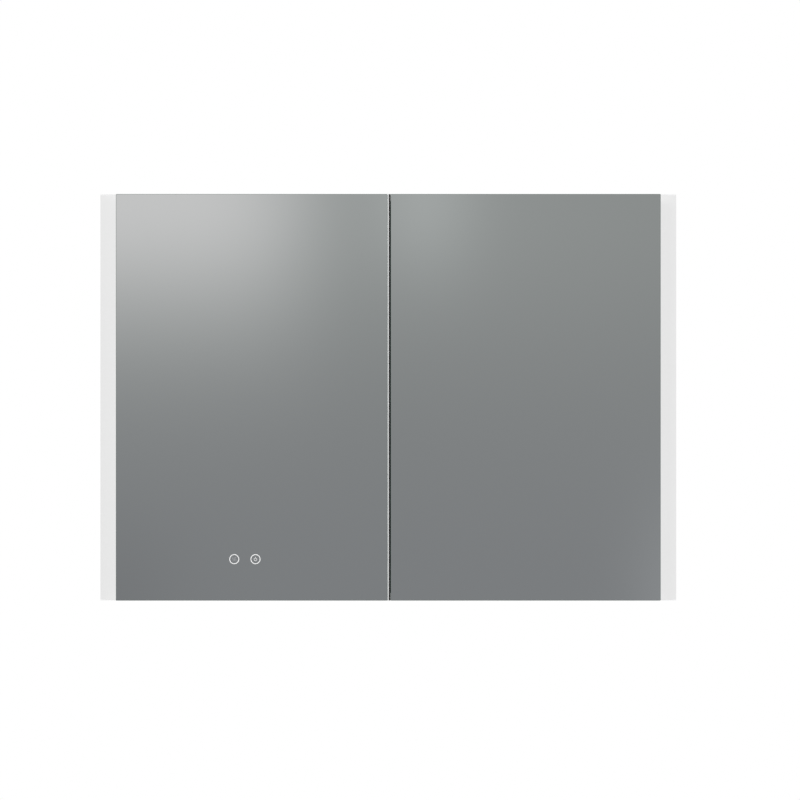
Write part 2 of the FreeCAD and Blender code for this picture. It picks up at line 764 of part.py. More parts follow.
def make_lights():
    screws = []
    for side in (LEFT, RIGHT):
        make_light(side)
        turn = {LEFT: "-x", RIGHT: "+x"}[side]
        for level in channel_screw_levels():
            at = (mirrored(side, "bay_half"), CHANNEL_SCREW_DEPTH, level)
            screws.append(screw(at, turn, "panel + channel_wall + channel_screw_end"))
    group("channel_screws", screws)


# ---------------------------------------------------------------- electrics

def cover_screws():
    return [
        (f"-bay_half + {quarters} * (bay_half - panel / 2) / 4", "cover_floor + cover_flange / 2")
        for quarters in (1, 2, 3)
    ]


def make_electrics():
    """Led driver and terminal block behind a folded cover, under the top of the left bay."""
    gap = "lining_clearance / 2"
    cover = new_body("electrics_cover")
    floor_top = "cover_floor + cover_wall"
    inside = "cover_front + cover_wall"
    flange_front = "back_front - cover_wall"
    profile = [
        ("cover_front", "cover_floor"), ("back_front", "cover_floor"),
        ("back_front", "cover_floor + cover_flange"), (flange_front, "cover_floor + cover_flange"),
        (flange_front, floor_top), (inside, floor_top), (inside, "bay_ceiling"),
        ("cover_front", "bay_ceiling"),
    ]
    pad(cover, "side", [profile], f"-bay_half + {gap}", f"-panel / 2 - {gap}")
    holes = [circle(*spot, SCREW_HOLE) for spot in cover_screws()]
    pocket(cover, "front", holes, flange_front, "back_front")
    screws = [
        screw((across, flange_front, level), "+y", "cover_wall + back_panel + cover_screw_end")
        for across, level in cover_screws()
    ]
    group("cover_screws", screws)

    driver_end = "driver_start + driver_length"
    driver = board(
        "led_driver", ("driver_start", driver_end),
        ("back_front - driver_depth", "back_front"), ("electrics_top - driver_height", "electrics_top"),
    )
    upright = number("driver_height")
    bevel(driver, "driver_bevel", lambda box: abs(box.ZLength - upright) < TOLERANCE)
    terminal_end = "terminal_start + terminal_length"
    front = "back_front - terminal_depth"
    terminal = board(
        "terminal_block", ("terminal_start", terminal_end),
        (front, "back_front"), ("electrics_top - terminal_height", "electrics_top"),
    )
    way_width = f"terminal_length / {TERMINAL_WAYS}"
    mouths = [
        rectangle(
            f"terminal_start + {way} * {way_width} + mouth_margin",
            f"terminal_start + {way + 1} * {way_width} - mouth_margin", "mouth_low", "mouth_high",
        )
        for way in range(TERMINAL_WAYS)
    ]
    pocket(terminal, "front", mouths, front, f"{front} + mouth_depth")

    grommet_back = "back_rear + grommet_lip"
    grommet_front = "back_front - grommet_lip"
    entry = ("-cable_inset", grommet_front, "cable_level")
    barrel = cylinder("cable_radius + grommet_wall", f"{grommet_back} - ({grommet_front})", entry, "+y")
    inner_lip = cylinder("grommet_flange", "grommet_lip", entry, "+y")
    outer_lip = cylinder("grommet_flange", "grommet_lip", ("-cable_inset", "back_rear", "cable_level"), "+y")
    bore = cylinder("cable_radius", f"{grommet_back} - ({grommet_front})", entry, "+y")
    node(cut(joined([barrel, inner_lip, outer_lip]), bore, "cable_grommet"), "cable_grommet")


# ---------------------------------------------------------------- pivots and catches

def make_pivots():
    """A plate on the case at each door's outer corners, with a pin down into the door."""
    pins = []
    screws = []
    for side in (LEFT, RIGHT):
        for end in (LOWER, UPPER):
            axis = mirrored(side, "pivot_out")
            outside = mirrored(side, "pivot_out + pivot_arm_radius")
            inside = mirrored(side, "pivot_out - pivot_arm_radius")
            foot_inside = mirrored(side, "pivot_out + pivot_arm_radius - pivot_foot_width")
            foot = "case_front + pivot_foot_setback"
            low = {LOWER: "-pivot_plate", UPPER: "case_height"}[end]
            high = {LOWER: "0", UPPER: "case_height + pivot_plate"}[end]
            plate = new_body(f"{END_NAMES[end]}_{SIDE_NAMES[side]}_pivot_plate")
            outline = [
                (outside, "pivot_depth"), (inside, "pivot_depth"), (inside, foot),
                (foot_inside, foot), (foot_inside, f"{foot} + pivot_foot_length"),
                (outside, f"{foot} + pivot_foot_length"),
            ]
            pad(plate, "plan", [outline], low, high)
            pad(plate, "plan", [circle(axis, "pivot_depth", "pivot_arm_radius")], low, high)
            holes = [circle(*spot, SCREW_HOLE) for spot in pivot_screws(side)]
            holes.append(circle(axis, "pivot_depth", "pin_radius"))
            pocket(plate, "plan", holes, low, high)

            pin_turn = {LOWER: "+z", UPPER: "-z"}[end]
            pins.append(cylinder(
                "pin_radius", "pivot_plate + pin_reach",
                (axis, "pivot_depth", {LOWER: low, UPPER: high}[end]), pin_turn,
            ))
            for across, depth in pivot_screws(side):
                screws.append(screw((across, depth, {LOWER: low, UPPER: high}[end]), pin_turn))
    group("pivot_pins", pins)
    group("pivot_plate_screws", screws)


def catch_span(side):
    return span(side, "panel / 2 + catch_inset", "panel / 2 + catch_inset + catch_length")


def catch_screws(side):
    return [
        (mirrored(side, f"panel / 2 + catch_inset + {along}"), "case_front + catch_screw_setback")
        for along in ("catch_screw_side", "catch_length - catch_screw_side")
    ]


def make_catches():
    screws = []
    for side in (LEFT, RIGHT):
        depth = ("case_front", "case_front + catch_depth")
        up = ("bay_floor", "bay_floor + catch_height")
        catch = board(f"{SIDE_NAMES[side]}_magnet_catch", catch_span(side), depth, up)
        holes = [circle(*spot, SCREW_HOLE) for spot in catch_screws(side)]
        heads = [circle(*spot, "screw_head_radius + screw_clearance") for spot in catch_screws(side)]
        pocket(catch, "plan", holes, "0", "catch_height")
        pocket(catch, "plan", heads, "catch_ear", "catch_height")
        for across, depth_at in catch_screws(side):
            screws.append(screw((across, depth_at, "bay_floor + catch_ear"), "-z"))
    group("catch_screws", screws)


# ---------------------------------------------------------------- doors

def core_outline(side, free_edge):
    """The core in plan, with a bevel on its back corner beside the hinge."""
    outer = "door_outer - glass_overhang"
    back = "door_back"
    return [
        (mirrored(side, outer), "core_front"), (free_edge, "core_front"), (free_edge, back),
        (mirrored(side, f"{outer} - core_chamfer"), back),
        (mirrored(side, outer), f"{back} - core_chamfer"),
    ]


def make_door(side):
    name = SIDE_NAMES[side]
    free_edge = {LEFT: "left_free_edge", RIGHT: "right_free_edge"}[side]
    glass_edge = {LEFT: "left_free_edge - edge_strip", RIGHT: "right_free_edge"}[side]
    core_edge = {LEFT: glass_edge, RIGHT: f"{glass_edge} + glass_overhang"}[side]
    door_outer = mirrored(side, "door_outer")

    glass = new_body(f"{name}_front_mirror")
    pad(glass, "front", [rectangle(door_outer, glass_edge, "door_low", "door_high")],
        "door_front", "core_front")
    front = number("door_front")
    bevel(glass, "front_arris", lambda box: on_plane(box, front))

    core = new_body(f"{name}_door_core")
    core_low = "door_low + glass_overhang"
    core_high = "door_high - glass_overhang"
    pad(core, "plan", [core_outline(side, core_edge)], core_low, core_high)
    notch = rectangle(
        mirrored(side, "door_outer - notch_width"), mirrored(side, "door_outer"),
        "core_front", "door_back",
    )
    bore = [circle(mirrored(side, "pivot_out"), "pivot_depth", "bush_radius")]
    notch_low = "door_low + notch_depth"
    notch_high = "door_high - notch_depth"
    pocket(core, "plan", [notch], core_low, notch_low)
    pocket(core, "plan", [notch], notch_high, core_high)
    pocket(core, "plan", bore, notch_low, f"{notch_low} + bush_length")
    pocket(core, "plan", bore, f"{notch_high} - bush_length", notch_high)
    inward = -side
    lining = rectangle(
        f"{door_outer} + {inward} * inner_margin_across", f"{free_edge} - {inward} * inner_margin_across",
        "door_low + inner_margin_up", "door_high - inner_margin_up",
    )
    pocket(core, "front", [lining], "door_back - inner_glass", "door_back")

    mirror = new_body(f"{name}_inner_mirror")
    play = "fit_clearance"
    pane = rectangle(
        f"{door_outer} + {inward} * (inner_margin_across + {play})",
        f"{free_edge} - {inward} * (inner_margin_across + {play})",
        f"door_low + inner_margin_up + {play}", f"door_high - inner_margin_up - {play}",
    )
    pad(mirror, "front", [pane], "door_back - inner_glass", "door_back")

    bushes = []
    for turn, base in (("+z", notch_low), ("-z", notch_high)):
        axis = (mirrored(side, "pivot_out"), "pivot_depth")
        flange_at = f"{base} {'-' if turn == '+z' else '+'} flange_thickness"
        barrel = cylinder("bush_radius", "bush_length", (*axis, base), turn)
        flange = cylinder("bush_flange", "flange_thickness", (*axis, flange_at), turn)
        bore_tool = cylinder(
            "pin_radius + running_clearance", "bush_length + flange_thickness", (*axis, flange_at), turn,
        )
        bushes.append(cut(joined([barrel, flange]), bore_tool))
    group(f"{name}_pivot_bushes", bushes)

    bumper_across = f"{free_edge} - {inward} * bumper_inset"
    bumpers = [
        cylinder("bumper_radius", "bumper_thickness", (bumper_across, "door_back", level), "+y")
        for level in case_screw_levels()
    ]
    group(f"{name}_door_bumpers", bumpers)

    strike_middle = "panel / 2 + catch_inset + catch_length / 2"
    board(
        f"{name}_strike_plate",
        span(side, f"{strike_middle} - strike_length / 2", f"{strike_middle} + strike_length / 2"),
        ("door_back", "door_back + strike_thickness"),
        ("bay_floor + strike_margin", "bay_floor + catch_height - strike_margin"),
    )
    return glass, core


def icon_centres():
    return [("-icon_first", "icon_level"), ("-icon_second", "icon_level")]


def make_left_fittings(glass, core):
    """What only the left door carries: edge strip, gap seal, demister pad, sensor and touch rings."""
    board("left_edge_strip", ("left_free_edge - edge_strip", "left_free_edge"),
          ("door_front", "door_back"), ("door_low", "door_high"))
    seal_front = "door_front + seal_setback"
    board("door_gap_seal", ("left_free_edge", "right_free_edge - seal_play"),
          (seal_front, f"{seal_front} + seal_thickness"), ("door_low", "door_high"))

    middle = "(left_free_edge - door_outer) / 2"
    half_width = "pad_width / 2"
    half_height = "pad_height / 2"
    level = "case_height / 2"
    recess = rectangle(
        f"{middle} - {half_width} - fit_clearance", f"{middle} + {half_width} + fit_clearance",
        f"{level} - {half_height} - fit_clearance", f"{level} + {half_height} + fit_clearance",
    )
    pocket(core, "front", [recess], "core_front", "core_front + pad_recess")
    board("left_demister_pad", (f"{middle} - {half_width}", f"{middle} + {half_width}"),
          ("core_front", "core_front + pad_thickness"),
          (f"{level} - {half_height}", f"{level} + {half_height}"))

    left = "-icon_middle - sensor_length / 2"
    right = "-icon_middle + sensor_length / 2"
    low = "icon_level - sensor_height / 2"
    high = "icon_level + sensor_height / 2"
    recess = rectangle(
        f"{left} - fit_clearance", f"{right} + fit_clearance",
        f"{low} - fit_clearance", f"{high} + fit_clearance",
    )
    pocket(core, "front", [recess], "core_front", "core_front + sensor_recess")
    board("touch_sensor", (left, right), ("core_front", "core_front + sensor_thickness"), (low, high))

    rings = []
    inner_radius = "icon_radius - icon_stroke"
    grooves = []
    for across, up in icon_centres():
        grooves.append(circle(across, up, "icon_radius + inlay_clearance"))
        grooves.append(circle(across, up, f"{inner_radius} - inlay_clearance"))
        start = (across, "door_front", up)
        disc = cylinder("icon_radius", "icon_inlay", start, "+y")
        hole = cylinder(inner_radius, "icon_inlay", start, "+y")
        rings.append(cut(disc, hole))
    pocket(glass, "front", grooves, "door_front", "door_front + icon_inlay")
    group("touch_icons", rings)


# ---------------------------------------------------------------- build and export

def check_document():
    document.recompute()
    for thing in document.Objects:
        if "Invalid" in thing.State or "Error" in thing.State:
            raise RuntimeError(f"{thing.Label} ({thing.Name}) failed: {thing.State}")
    for thing in nodes:
        if thing.Shape.isNull() or not thing.Shape.isValid():
            raise RuntimeError(f"{thing.Label} has no valid shape")


def export_nodes():
    os.makedirs("parts", exist_ok=True)
    for thing in nodes:
        thing.Shape.exportStep(f"parts/{thing.Label}.step")
    print(len(nodes), "nodes,", sum(len(thing.Shape.Solids) for thing in nodes), "solids")


make_case()
make_linings()
make_shelves()
make_wall_fixing()
make_lights()
make_electrics()
make_pivots()
make_catches()
for door_side in (LEFT, RIGHT):
    door_glass, door_core = make_door(door_side)
    if door_side == LEFT:
        make_left_fittings(door_glass, door_core)
check_document()
export_nodes()
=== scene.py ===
import json
import math

import bpy
import numpy as np
from bpy.props import FloatProperty, FloatVectorProperty, PointerProperty
from bpy.types import Operator, Panel, PropertyGroup
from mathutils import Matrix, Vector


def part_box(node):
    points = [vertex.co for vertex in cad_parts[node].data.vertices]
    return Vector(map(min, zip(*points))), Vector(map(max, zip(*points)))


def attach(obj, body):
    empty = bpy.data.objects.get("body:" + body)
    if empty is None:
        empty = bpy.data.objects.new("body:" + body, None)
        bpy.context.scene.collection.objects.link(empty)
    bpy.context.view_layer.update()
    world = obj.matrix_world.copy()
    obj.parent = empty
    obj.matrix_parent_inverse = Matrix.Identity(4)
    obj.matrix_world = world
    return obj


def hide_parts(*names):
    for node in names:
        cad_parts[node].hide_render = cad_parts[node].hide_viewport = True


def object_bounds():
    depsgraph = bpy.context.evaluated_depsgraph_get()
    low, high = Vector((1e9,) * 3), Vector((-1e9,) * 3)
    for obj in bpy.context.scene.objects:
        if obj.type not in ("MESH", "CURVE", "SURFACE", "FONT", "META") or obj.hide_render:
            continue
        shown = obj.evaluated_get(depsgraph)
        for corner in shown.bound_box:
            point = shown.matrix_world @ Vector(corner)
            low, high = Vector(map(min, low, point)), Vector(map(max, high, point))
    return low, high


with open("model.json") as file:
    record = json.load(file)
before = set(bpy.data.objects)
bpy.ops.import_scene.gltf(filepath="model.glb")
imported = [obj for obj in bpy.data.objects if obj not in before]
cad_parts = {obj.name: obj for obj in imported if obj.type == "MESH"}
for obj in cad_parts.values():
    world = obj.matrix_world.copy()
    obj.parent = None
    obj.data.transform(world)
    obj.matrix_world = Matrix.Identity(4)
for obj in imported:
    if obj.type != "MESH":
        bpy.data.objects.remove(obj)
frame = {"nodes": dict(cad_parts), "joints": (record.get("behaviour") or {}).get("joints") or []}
CAD_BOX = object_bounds()

bl_info = {
    "name": "Mirror Cabinet",
    "version": (1, 0, 0),
    "blender": (4, 5, 0),
    "location": "3D View > Sidebar > Cabinet",
    "description": "Finishes a two-door mirror cabinet with lit columns round its packed frame",
    "category": "Object",
}

# Sizes are metres, in the frame's axes: X to the right, Y into the wall, Z up.
MM = 0.001
SIDES = ("left", "right")
ENDS = ("lower", "upper")
AWAY = {"left": -1.0, "right": 1.0}
TINY = 0.01 * MM         # smallest radius at an axis, so that no two points meet
QUARTER = math.pi / 2
WHITE = (1.0, 1.0, 1.0, 1.0)


# ---------------------------------------------------------------- settings

class CabinetFinish(PropertyGroup):
    """Colours and finishes a user would change."""
    silver_tint: FloatVectorProperty(
        name="Silver tint", description="Colour of the silvered float glass",
        subtype="COLOR", size=3, min=0.0, max=1.0, default=(0.905, 0.955, 0.945))
    lacquer: FloatVectorProperty(
        name="Case lacquer", description="Satin lacquer of the case boards",
        subtype="COLOR", size=3, min=0.0, max=1.0, default=(0.80, 0.80, 0.79))
    door_lacquer: FloatVectorProperty(
        name="Door lacquer", description="Lacquer of the door cores",
        subtype="COLOR", size=3, min=0.0, max=1.0, default=(0.27, 0.275, 0.28))
    # The opal is kept dark and the glow strong. The glow is the columns' lamp light and also
    # painted light that evens out their shading.
    opal: FloatVectorProperty(
        name="Opal acrylic", description="Frosted diffuser of the light columns",
        subtype="COLOR", size=3, min=0.0, max=1.0, default=(0.19, 0.19, 0.19))
    glow: FloatProperty(
        name="Glow", description="Light given off by the diffusers",
        default=0.667, min=0.0)
    aluminium: FloatVectorProperty(
        name="Aluminium", description="Satin anodised extrusions",
        subtype="COLOR", size=3, min=0.0, max=1.0, default=(0.70, 0.71, 0.72))
    zinc: FloatVectorProperty(
        name="Zinc plate", description="Plated steel of the pivots and screws",
        subtype="COLOR", size=3, min=0.0, max=1.0, default=(0.60, 0.61, 0.62))


class CabinetStage(PropertyGroup):
    """Camera, floor and lights."""
    camera_distance: FloatProperty(
        name="Camera distance", description="Camera to the wall plane",
        subtype="DISTANCE", unit="LENGTH", default=16.0, min=1.0)
    view_width: FloatProperty(
        name="View width", description="Width of the view at the mirrors",
        subtype="DISTANCE", unit="LENGTH", default=1.3872, min=0.1)
    aim_across: FloatProperty(
        name="Aim across", description="Camera axis right of the cabinet's middle",
        subtype="DISTANCE", unit="LENGTH", default=0.0203)
    aim_down: FloatProperty(
        name="Aim down", description="Camera axis below the middle of the doors",
        subtype="DISTANCE", unit="LENGTH", default=0.0047)
    floor_drop: FloatProperty(
        name="Floor drop", description="Floor below the cabinet",
        subtype="DISTANCE", unit="LENGTH", default=1.3, min=0.1)
    floor_radius: FloatProperty(
        name="Floor radius", description="Radius of the pale floor",
        subtype="DISTANCE", unit="LENGTH", default=14.0, min=1.0)
    key_power: FloatProperty(
        name="Key power", description="Soft light above, in front and to the left",
        default=120.0, min=0.0)
    fill_power: FloatProperty(
        name="Fill power", description="Soft light in front and to the right",
        default=60.0, min=0.0)
    room_light: FloatProperty(
        name="Room light", description="Strength of the surroundings for everything but the camera",
        default=0.55, min=0.0)


def finish():
    """The colours and finishes in use."""
    return bpy.context.scene.cabinet_finish


# ---------------------------------------------------------------- surfaces

# Each direction has two unit vectors across it that make a right-handed set with it.
ACROSS = {
    "+x": ((0, 1, 0), (0, 0, 1)), "-x": ((0, 1, 0), (0, 0, -1)),
    "+y": ((0, 0, 1), (1, 0, 0)), "-y": ((1, 0, 0), (0, 0, 1)),
    "+z": ((1, 0, 0), (0, 1, 0)), "-z": ((1, 0, 0), (0, -1, 0)),
}


def basis(facing):
    """3 by 3 rows: across, up and out of a direction."""
    first, second = (np.array(v, float) for v in ACROSS[facing])
    return np.stack([first, second, np.cross(first, second)])


def turned(points, facing, origin=(0, 0, 0)):
    """Local (across, up, out) points in the frame's axes, moved to an origin."""
    return np.asarray(points, float) @ basis(facing) + np.asarray(origin, float)


def loops_to_mesh(loops, capped=True):
    """Closed loops, counter-clockwise seen from ahead, joined in order by quads.

    Vertex (i, j) is point j of loop i; face (i, j) spans i..i+1 and j..j+1, j wrapping round.
    With capped, the first and last loop are closed by flat faces.
    """
    loops = np.asarray(loops, float)
    rows, count = loops.shape[:2]
    index = np.arange(rows * count).reshape(rows, count)
    after = np.roll(index, -1, axis=1)
    quads = np.stack([index[:-1], after[:-1], after[1:], index[1:]], axis=-1).reshape(-1, 4)
    faces = quads.tolist()
    if capped:
        faces.append(index[0][::-1].tolist())
        faces.append(index[-1].tolist())
    return loops.reshape(-1, 3), faces


def merged(meshes):
    """Several (points, faces) as one."""
    points, faces, start = [], [], 0
    for part_points, part_faces in meshes:
        points.append(part_points)
        faces += [[corner + start for corner in face] for face in part_faces]
        start += len(part_points)
    return np.concatenate(points), faces


def turned_mesh(mesh, facing, origin):
    """A local (points, faces) turned to a direction and moved to an origin."""
    points, faces = mesh
    return turned(points, facing, origin), faces


def arc(centre, radius, angles):
    """Points of a circle: centre plus radius times (cos a, sin a)."""
    return np.asarray(centre) + radius * np.stack([np.cos(angles), np.sin(angles)], axis=-1)


def rounded_outline(half_across, half_up, radius, steps=6):
    """Rectangle with round corners: an arc about each corner's centre, over its own quarter."""
    angles = np.linspace(0.0, QUARTER, steps + 1)
    return np.concatenate([
        arc((sx * (half_across - radius), sy * (half_up - radius)), radius, angles + turn * QUARTER)
        for turn, (sx, sy) in enumerate(((1, 1), (-1, 1), (-1, -1), (1, -1)))
    ])


def slab(low, high, facing, corner=1.0 * MM, edge=0.5 * MM, steps=4):
    """A plate in a box: a round-cornered outline, drawn in by edge (1 - cos a) where the
    profile turns from the side onto each face, a over a quarter turn."""
    low, high = np.asarray(low, float), np.asarray(high, float)
    middle, half = (low + high) / 2, (high - low) / 2
    half_across, half_up, half_out = np.abs(basis(facing) @ half)
    angle = np.linspace(0.0, QUARTER, steps + 1)
    inset = edge * (1 - np.cos(angle))
    rise = edge * (1 - np.sin(angle))
    insets = np.concatenate([inset[::-1], inset])
    levels = np.concatenate([rise[::-1] - half_out, half_out - rise])
    corner = max(corner, edge + 2 * TINY)
    loops = []
    for inward, level in zip(insets, levels):
        outline = rounded_outline(half_across - inward, half_up - inward, corner - inward)
        loops.append(np.column_stack([outline, np.full(len(outline), level)]))
    return turned_mesh(loops_to_mesh(loops), facing, middle)


def round_loops(profile, sectors):
    """A loop for each profile point (radius, out): (r cos t, r sin t, out), t once round."""
    around = np.linspace(0.0, 2 * math.pi, sectors, endpoint=False)
    radius, out = profile[:, :1], profile[:, 1:]
    return np.stack([
        radius * np.cos(around), radius * np.sin(around), np.repeat(out, sectors, axis=1)], axis=-1)


def lathe(profile, facing, origin, sectors=48):
    """Profile points (radius, out) turned about a direction. A profile that starts and ends on
    the axis closes by itself; its end loops are tiny flat faces."""
    profile = np.array(profile, float)
    profile[:, 0] = np.maximum(profile[:, 0], TINY)
    return turned_mesh(loops_to_mesh(round_loops(profile, sectors)), facing, origin)


def ring_lathe(profile, facing, origin, sectors=64):
    """A closed profile of (radius, out), counter-clockwise, turned into a ring with no ends."""
    loops = round_loops(np.asarray(profile, float), sectors)
    rows = len(profile)
    index = np.arange(rows * sectors).reshape(rows, sectors)
    after = np.roll(index, -1, axis=1)
    following, following_after = np.roll(index, -1, axis=0), np.roll(after, -1, axis=0)
    quads = np.stack([index, after, following_after, following], axis=-1).reshape(-1, 4)
    return turned(loops.reshape(-1, 3), facing, origin), quads.tolist()


def extrusion(outline, facing, start, stop):
    """A flat outline of (across, up), counter-clockwise, carried from start to stop along a
    direction."""
    outline = np.asarray(outline, float)
    loops = [np.column_stack([outline, np.full(len(outline), level)]) for level in (start, stop)]
    return turned_mesh(loops_to_mesh(loops), facing, (0, 0, 0))


def counter_clockwise(outline):
    """The outline in the order that gives it a positive area."""
    outline = np.asarray(outline, float)
    ahead = np.roll(outline, -1, axis=0)
    area = np.sum(outline[:, 0] * ahead[:, 1] - ahead[:, 0] * outline[:, 1])
    return outline if area > 0 else outline[::-1]


def filleted(outline, radius=0.0, steps=5):
    """The outline with each corner rounded: the arc touches both sides, its centre on the
    bisector. A corner given as (across, up, radius) has a radius of its own."""
    outline = counter_clockwise(outline)
    radii = outline[:, 2] if outline.shape[1] > 2 else np.full(len(outline), radius)
    outline = outline[:, :2]
    rounded = []
    for corner, before, ahead, radius in zip(
            outline, np.roll(outline, 1, axis=0), np.roll(outline, -1, axis=0), radii):
        if radius <= 0:
            rounded.append(corner[None])
            continue
        back = (before - corner) / np.linalg.norm(before - corner)
        forth = (ahead - corner) / np.linalg.norm(ahead - corner)
        half = math.acos(float(np.clip(back @ forth, -1, 1))) / 2
        bisector = (back + forth) / np.linalg.norm(back + forth)
        centre = corner + bisector * radius / math.sin(half)
        starts = corner + back * radius / math.tan(half) - centre
        ends = corner + forth * radius / math.tan(half) - centre
        first = math.atan2(starts[1], starts[0])
        sweep = (math.atan2(ends[1], ends[0]) - first + math.pi) % (2 * math.pi) - math.pi
        rounded.append(arc(centre, radius, first + sweep * np.linspace(0, 1, steps + 1)))
    return np.concatenate(rounded)


def stroke(path, width, steps=8):
    """A line of a given width with round ends: the path offset both ways along its normals."""
    path = np.asarray(path, float)
    slope = np.gradient(path, axis=0)
    slope /= np.linalg.norm(slope, axis=1, keepdims=True)
    normal = np.stack([slope[:, 1], -slope[:, 0]], axis=-1)
    angle = np.linspace(0, math.pi, steps)[1:-1, None]
    end = path[-1] + width / 2 * (np.cos(angle) * normal[-1] + np.sin(angle) * slope[-1])
    start = path[0] - width / 2 * (np.cos(angle) * normal[0] + np.sin(angle) * slope[0])
    side = normal * width / 2
    return np.concatenate([path + side, end, (path - side)[::-1], start])


def pan_head(radius, height, recess=0.6, arms=0.16, fall=0.45, depth=0.75, rings=14, sectors=48):
    """A domed head with a cross recess, R its radius: out = height (1 - fall (r/R)^2) less a slot,
    depth x height deep. The slot lies within arms x R of either of two crossed lines and within
    recess x R of the middle, and its walls slope over wall x R and end_wall x R."""
    wall, end_wall, centre, inner = 0.06, 0.08, 0.004, 0.1
    share = np.concatenate([[centre], np.linspace(inner, 1.0, rings)])[::-1, None]
    around = np.linspace(0, 2 * math.pi, sectors, endpoint=False)[None]
    across, up = radius * share * np.cos(around), radius * share * np.sin(around)
    dome = height * (1 - fall * share ** 2)
    nearer = np.minimum(np.abs(across), np.abs(up)) / radius
    reach = np.maximum(np.abs(across), np.abs(up)) / radius
    slot = np.clip((arms - nearer) / wall, 0, 1) * np.clip((recess - reach) / end_wall, 0, 1)
    out = dome - slot * height * depth
    top = np.stack([across, up, out], axis=-1)
    foot = np.stack([across[0], up[0], np.zeros(sectors)], axis=-1)[None]
    return loops_to_mesh(np.concatenate([foot, top]))


# ---------------------------------------------------------------- pieces

BEVEL_ANGLE = math.radians(40)       # edges sharper than this are rounded by a piece's bevel
SHARP_ANGLE = math.radians(32)       # edges sharper than this are shaded sharp


def add_piece(name, mesh, body, material, replaces=(), bevel=0.0, parts=None):
    """Make the object, give it its finish, and tie it to its body and the nodes it stands for.

    Parts, where given, says for each face which of several materials it has.
    """
    points, faces = mesh
    data = bpy.data.meshes.new(name)
    data.from_pydata(points.tolist(), [], faces)
    data.validate()
    materials = material if isinstance(material, (list, tuple)) else [material]
    for one in materials:
        data.materials.append(one)
    if parts is not None:
        data.polygons.foreach_set("material_index", np.asarray(parts, dtype=np.int32))
    data.update()
    piece = bpy.data.objects.new(name, data)
    bpy.context.scene.collection.objects.link(piece)
    if bevel:
        rounding = piece.modifiers.new("edge_rounding", "BEVEL")
        rounding.width = bevel
        rounding.segments = 2
        rounding.limit_method = "ANGLE"
        rounding.angle_limit = BEVEL_ANGLE
    data.set_sharp_from_angle(angle=SHARP_ANGLE)
    corner_counts = np.empty(len(data.polygons), dtype=np.int32)
    data.polygons.foreach_get("loop_total", corner_counts)
    data.polygons.foreach_set("use_smooth", corner_counts <= 4)
    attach(piece, body)
    if replaces:
        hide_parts(*replaces)
    return piece


def coat_node(node, material):
    """Give a CAD node's material slots this finish."""
    thing = frame["nodes"][node]
    for place in thing.material_slots:
        place.material = material


def corners(node):
    """A node's lowest and highest corner as arrays."""
    low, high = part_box(node)
    return np.array(low), np.array(high)


# ---------------------------------------------------------------- shader parts

def link(tree, source, target):
    """Join an output to an input."""
    tree.links.new(source, target)


def node(tree, kind, **values):
    """A node with these settings or input values; a space in an input's name is written _."""
    made = tree.nodes.new(kind)
    for name, value in values.items():
        if hasattr(made, name):
            setattr(made, name, value)
        else:
            made.inputs[name.replace("_", " ")].default_value = value
    return made


def math_node(tree, operation, first, second=None, clamp=False):
    """A Math node's result, from outputs or plain numbers."""
    made = tree.nodes.new("ShaderNodeMath")
    made.operation = operation
    made.use_clamp = clamp
    for place, value in enumerate((first, second)):
        if value is None:
            continue
        if isinstance(value, (int, float)):
            made.inputs[place].default_value = value
        else:
            link(tree, value, made.inputs[place])
    return made.outputs[0]


def start_group(name, inputs, outputs):
    """An empty node group with named float inputs (with defaults) and outputs."""
    group = bpy.data.node_groups.new(name, "ShaderNodeTree")
    for label, default in inputs.items():
        socket = group.interface.new_socket(label, in_out="INPUT", socket_type="NodeSocketFloat")
        socket.default_value = default
    for label, kind in outputs.items():
        group.interface.new_socket(label, in_out="OUTPUT", socket_type=kind)
    return group, group.nodes.new("NodeGroupInput"), group.nodes.new("NodeGroupOutput")


def build_fine_grain(name):
    """Fine pores and a slow unevenness: Height for bumps, Patch for colour and gloss, 0 to 1."""
    group, given, out = start_group(
        name, {"Pore Scale": 900.0, "Patch Scale": 9.0},
        {"Height": "NodeSocketFloat", "Patch": "NodeSocketFloat"})
    place = group.nodes.new("ShaderNodeTexCoord")
    pores = node(group, "ShaderNodeTexNoise", Detail=3.0, Roughness=0.6)
    patch = node(group, "ShaderNodeTexNoise", Detail=4.0, Roughness=0.55, Distortion=0.4)
    for noise, scale in ((pores, "Pore Scale"), (patch, "Patch Scale")):
        link(group, place.outputs["Object"], noise.inputs["Vector"])
        link(group, given.outputs[scale], noise.inputs["Scale"])
    link(group, pores.outputs["Fac"], out.inputs["Height"])
    link(group, patch.outputs["Fac"], out.inputs["Patch"])
    return group


def build_drawn_lines(name):
    """Long fine lines along one axis, as rolling and brushing leave them: noise squeezed along
    Z or X."""
    group, given, out = start_group(
        name, {"Across X": 2600.0, "Across Y": 2600.0, "Along Z": 14.0},
        {"Height": "NodeSocketFloat", "Streak": "NodeSocketFloat"})
    place = group.nodes.new("ShaderNodeTexCoord")
    scale = group.nodes.new("ShaderNodeCombineXYZ")
    for socket, label in zip(scale.inputs, ("Across X", "Across Y", "Along Z")):
        link(group, given.outputs[label], socket)
    stretch = node(group, "ShaderNodeVectorMath", operation="MULTIPLY")
    link(group, place.outputs["Object"], stretch.inputs[0])
    link(group, scale.outputs[0], stretch.inputs[1])
    lines = node(group, "ShaderNodeTexNoise", Scale=1.0, Detail=2.0, Roughness=0.5)
    streaks = node(group, "ShaderNodeTexNoise", Scale=0.08, Detail=2.0, Roughness=0.5)
    for noise, label in ((lines, "Height"), (streaks, "Streak")):
        link(group, stretch.outputs[0], noise.inputs["Vector"])
        link(group, noise.outputs["Fac"], out.inputs[label])
    return group


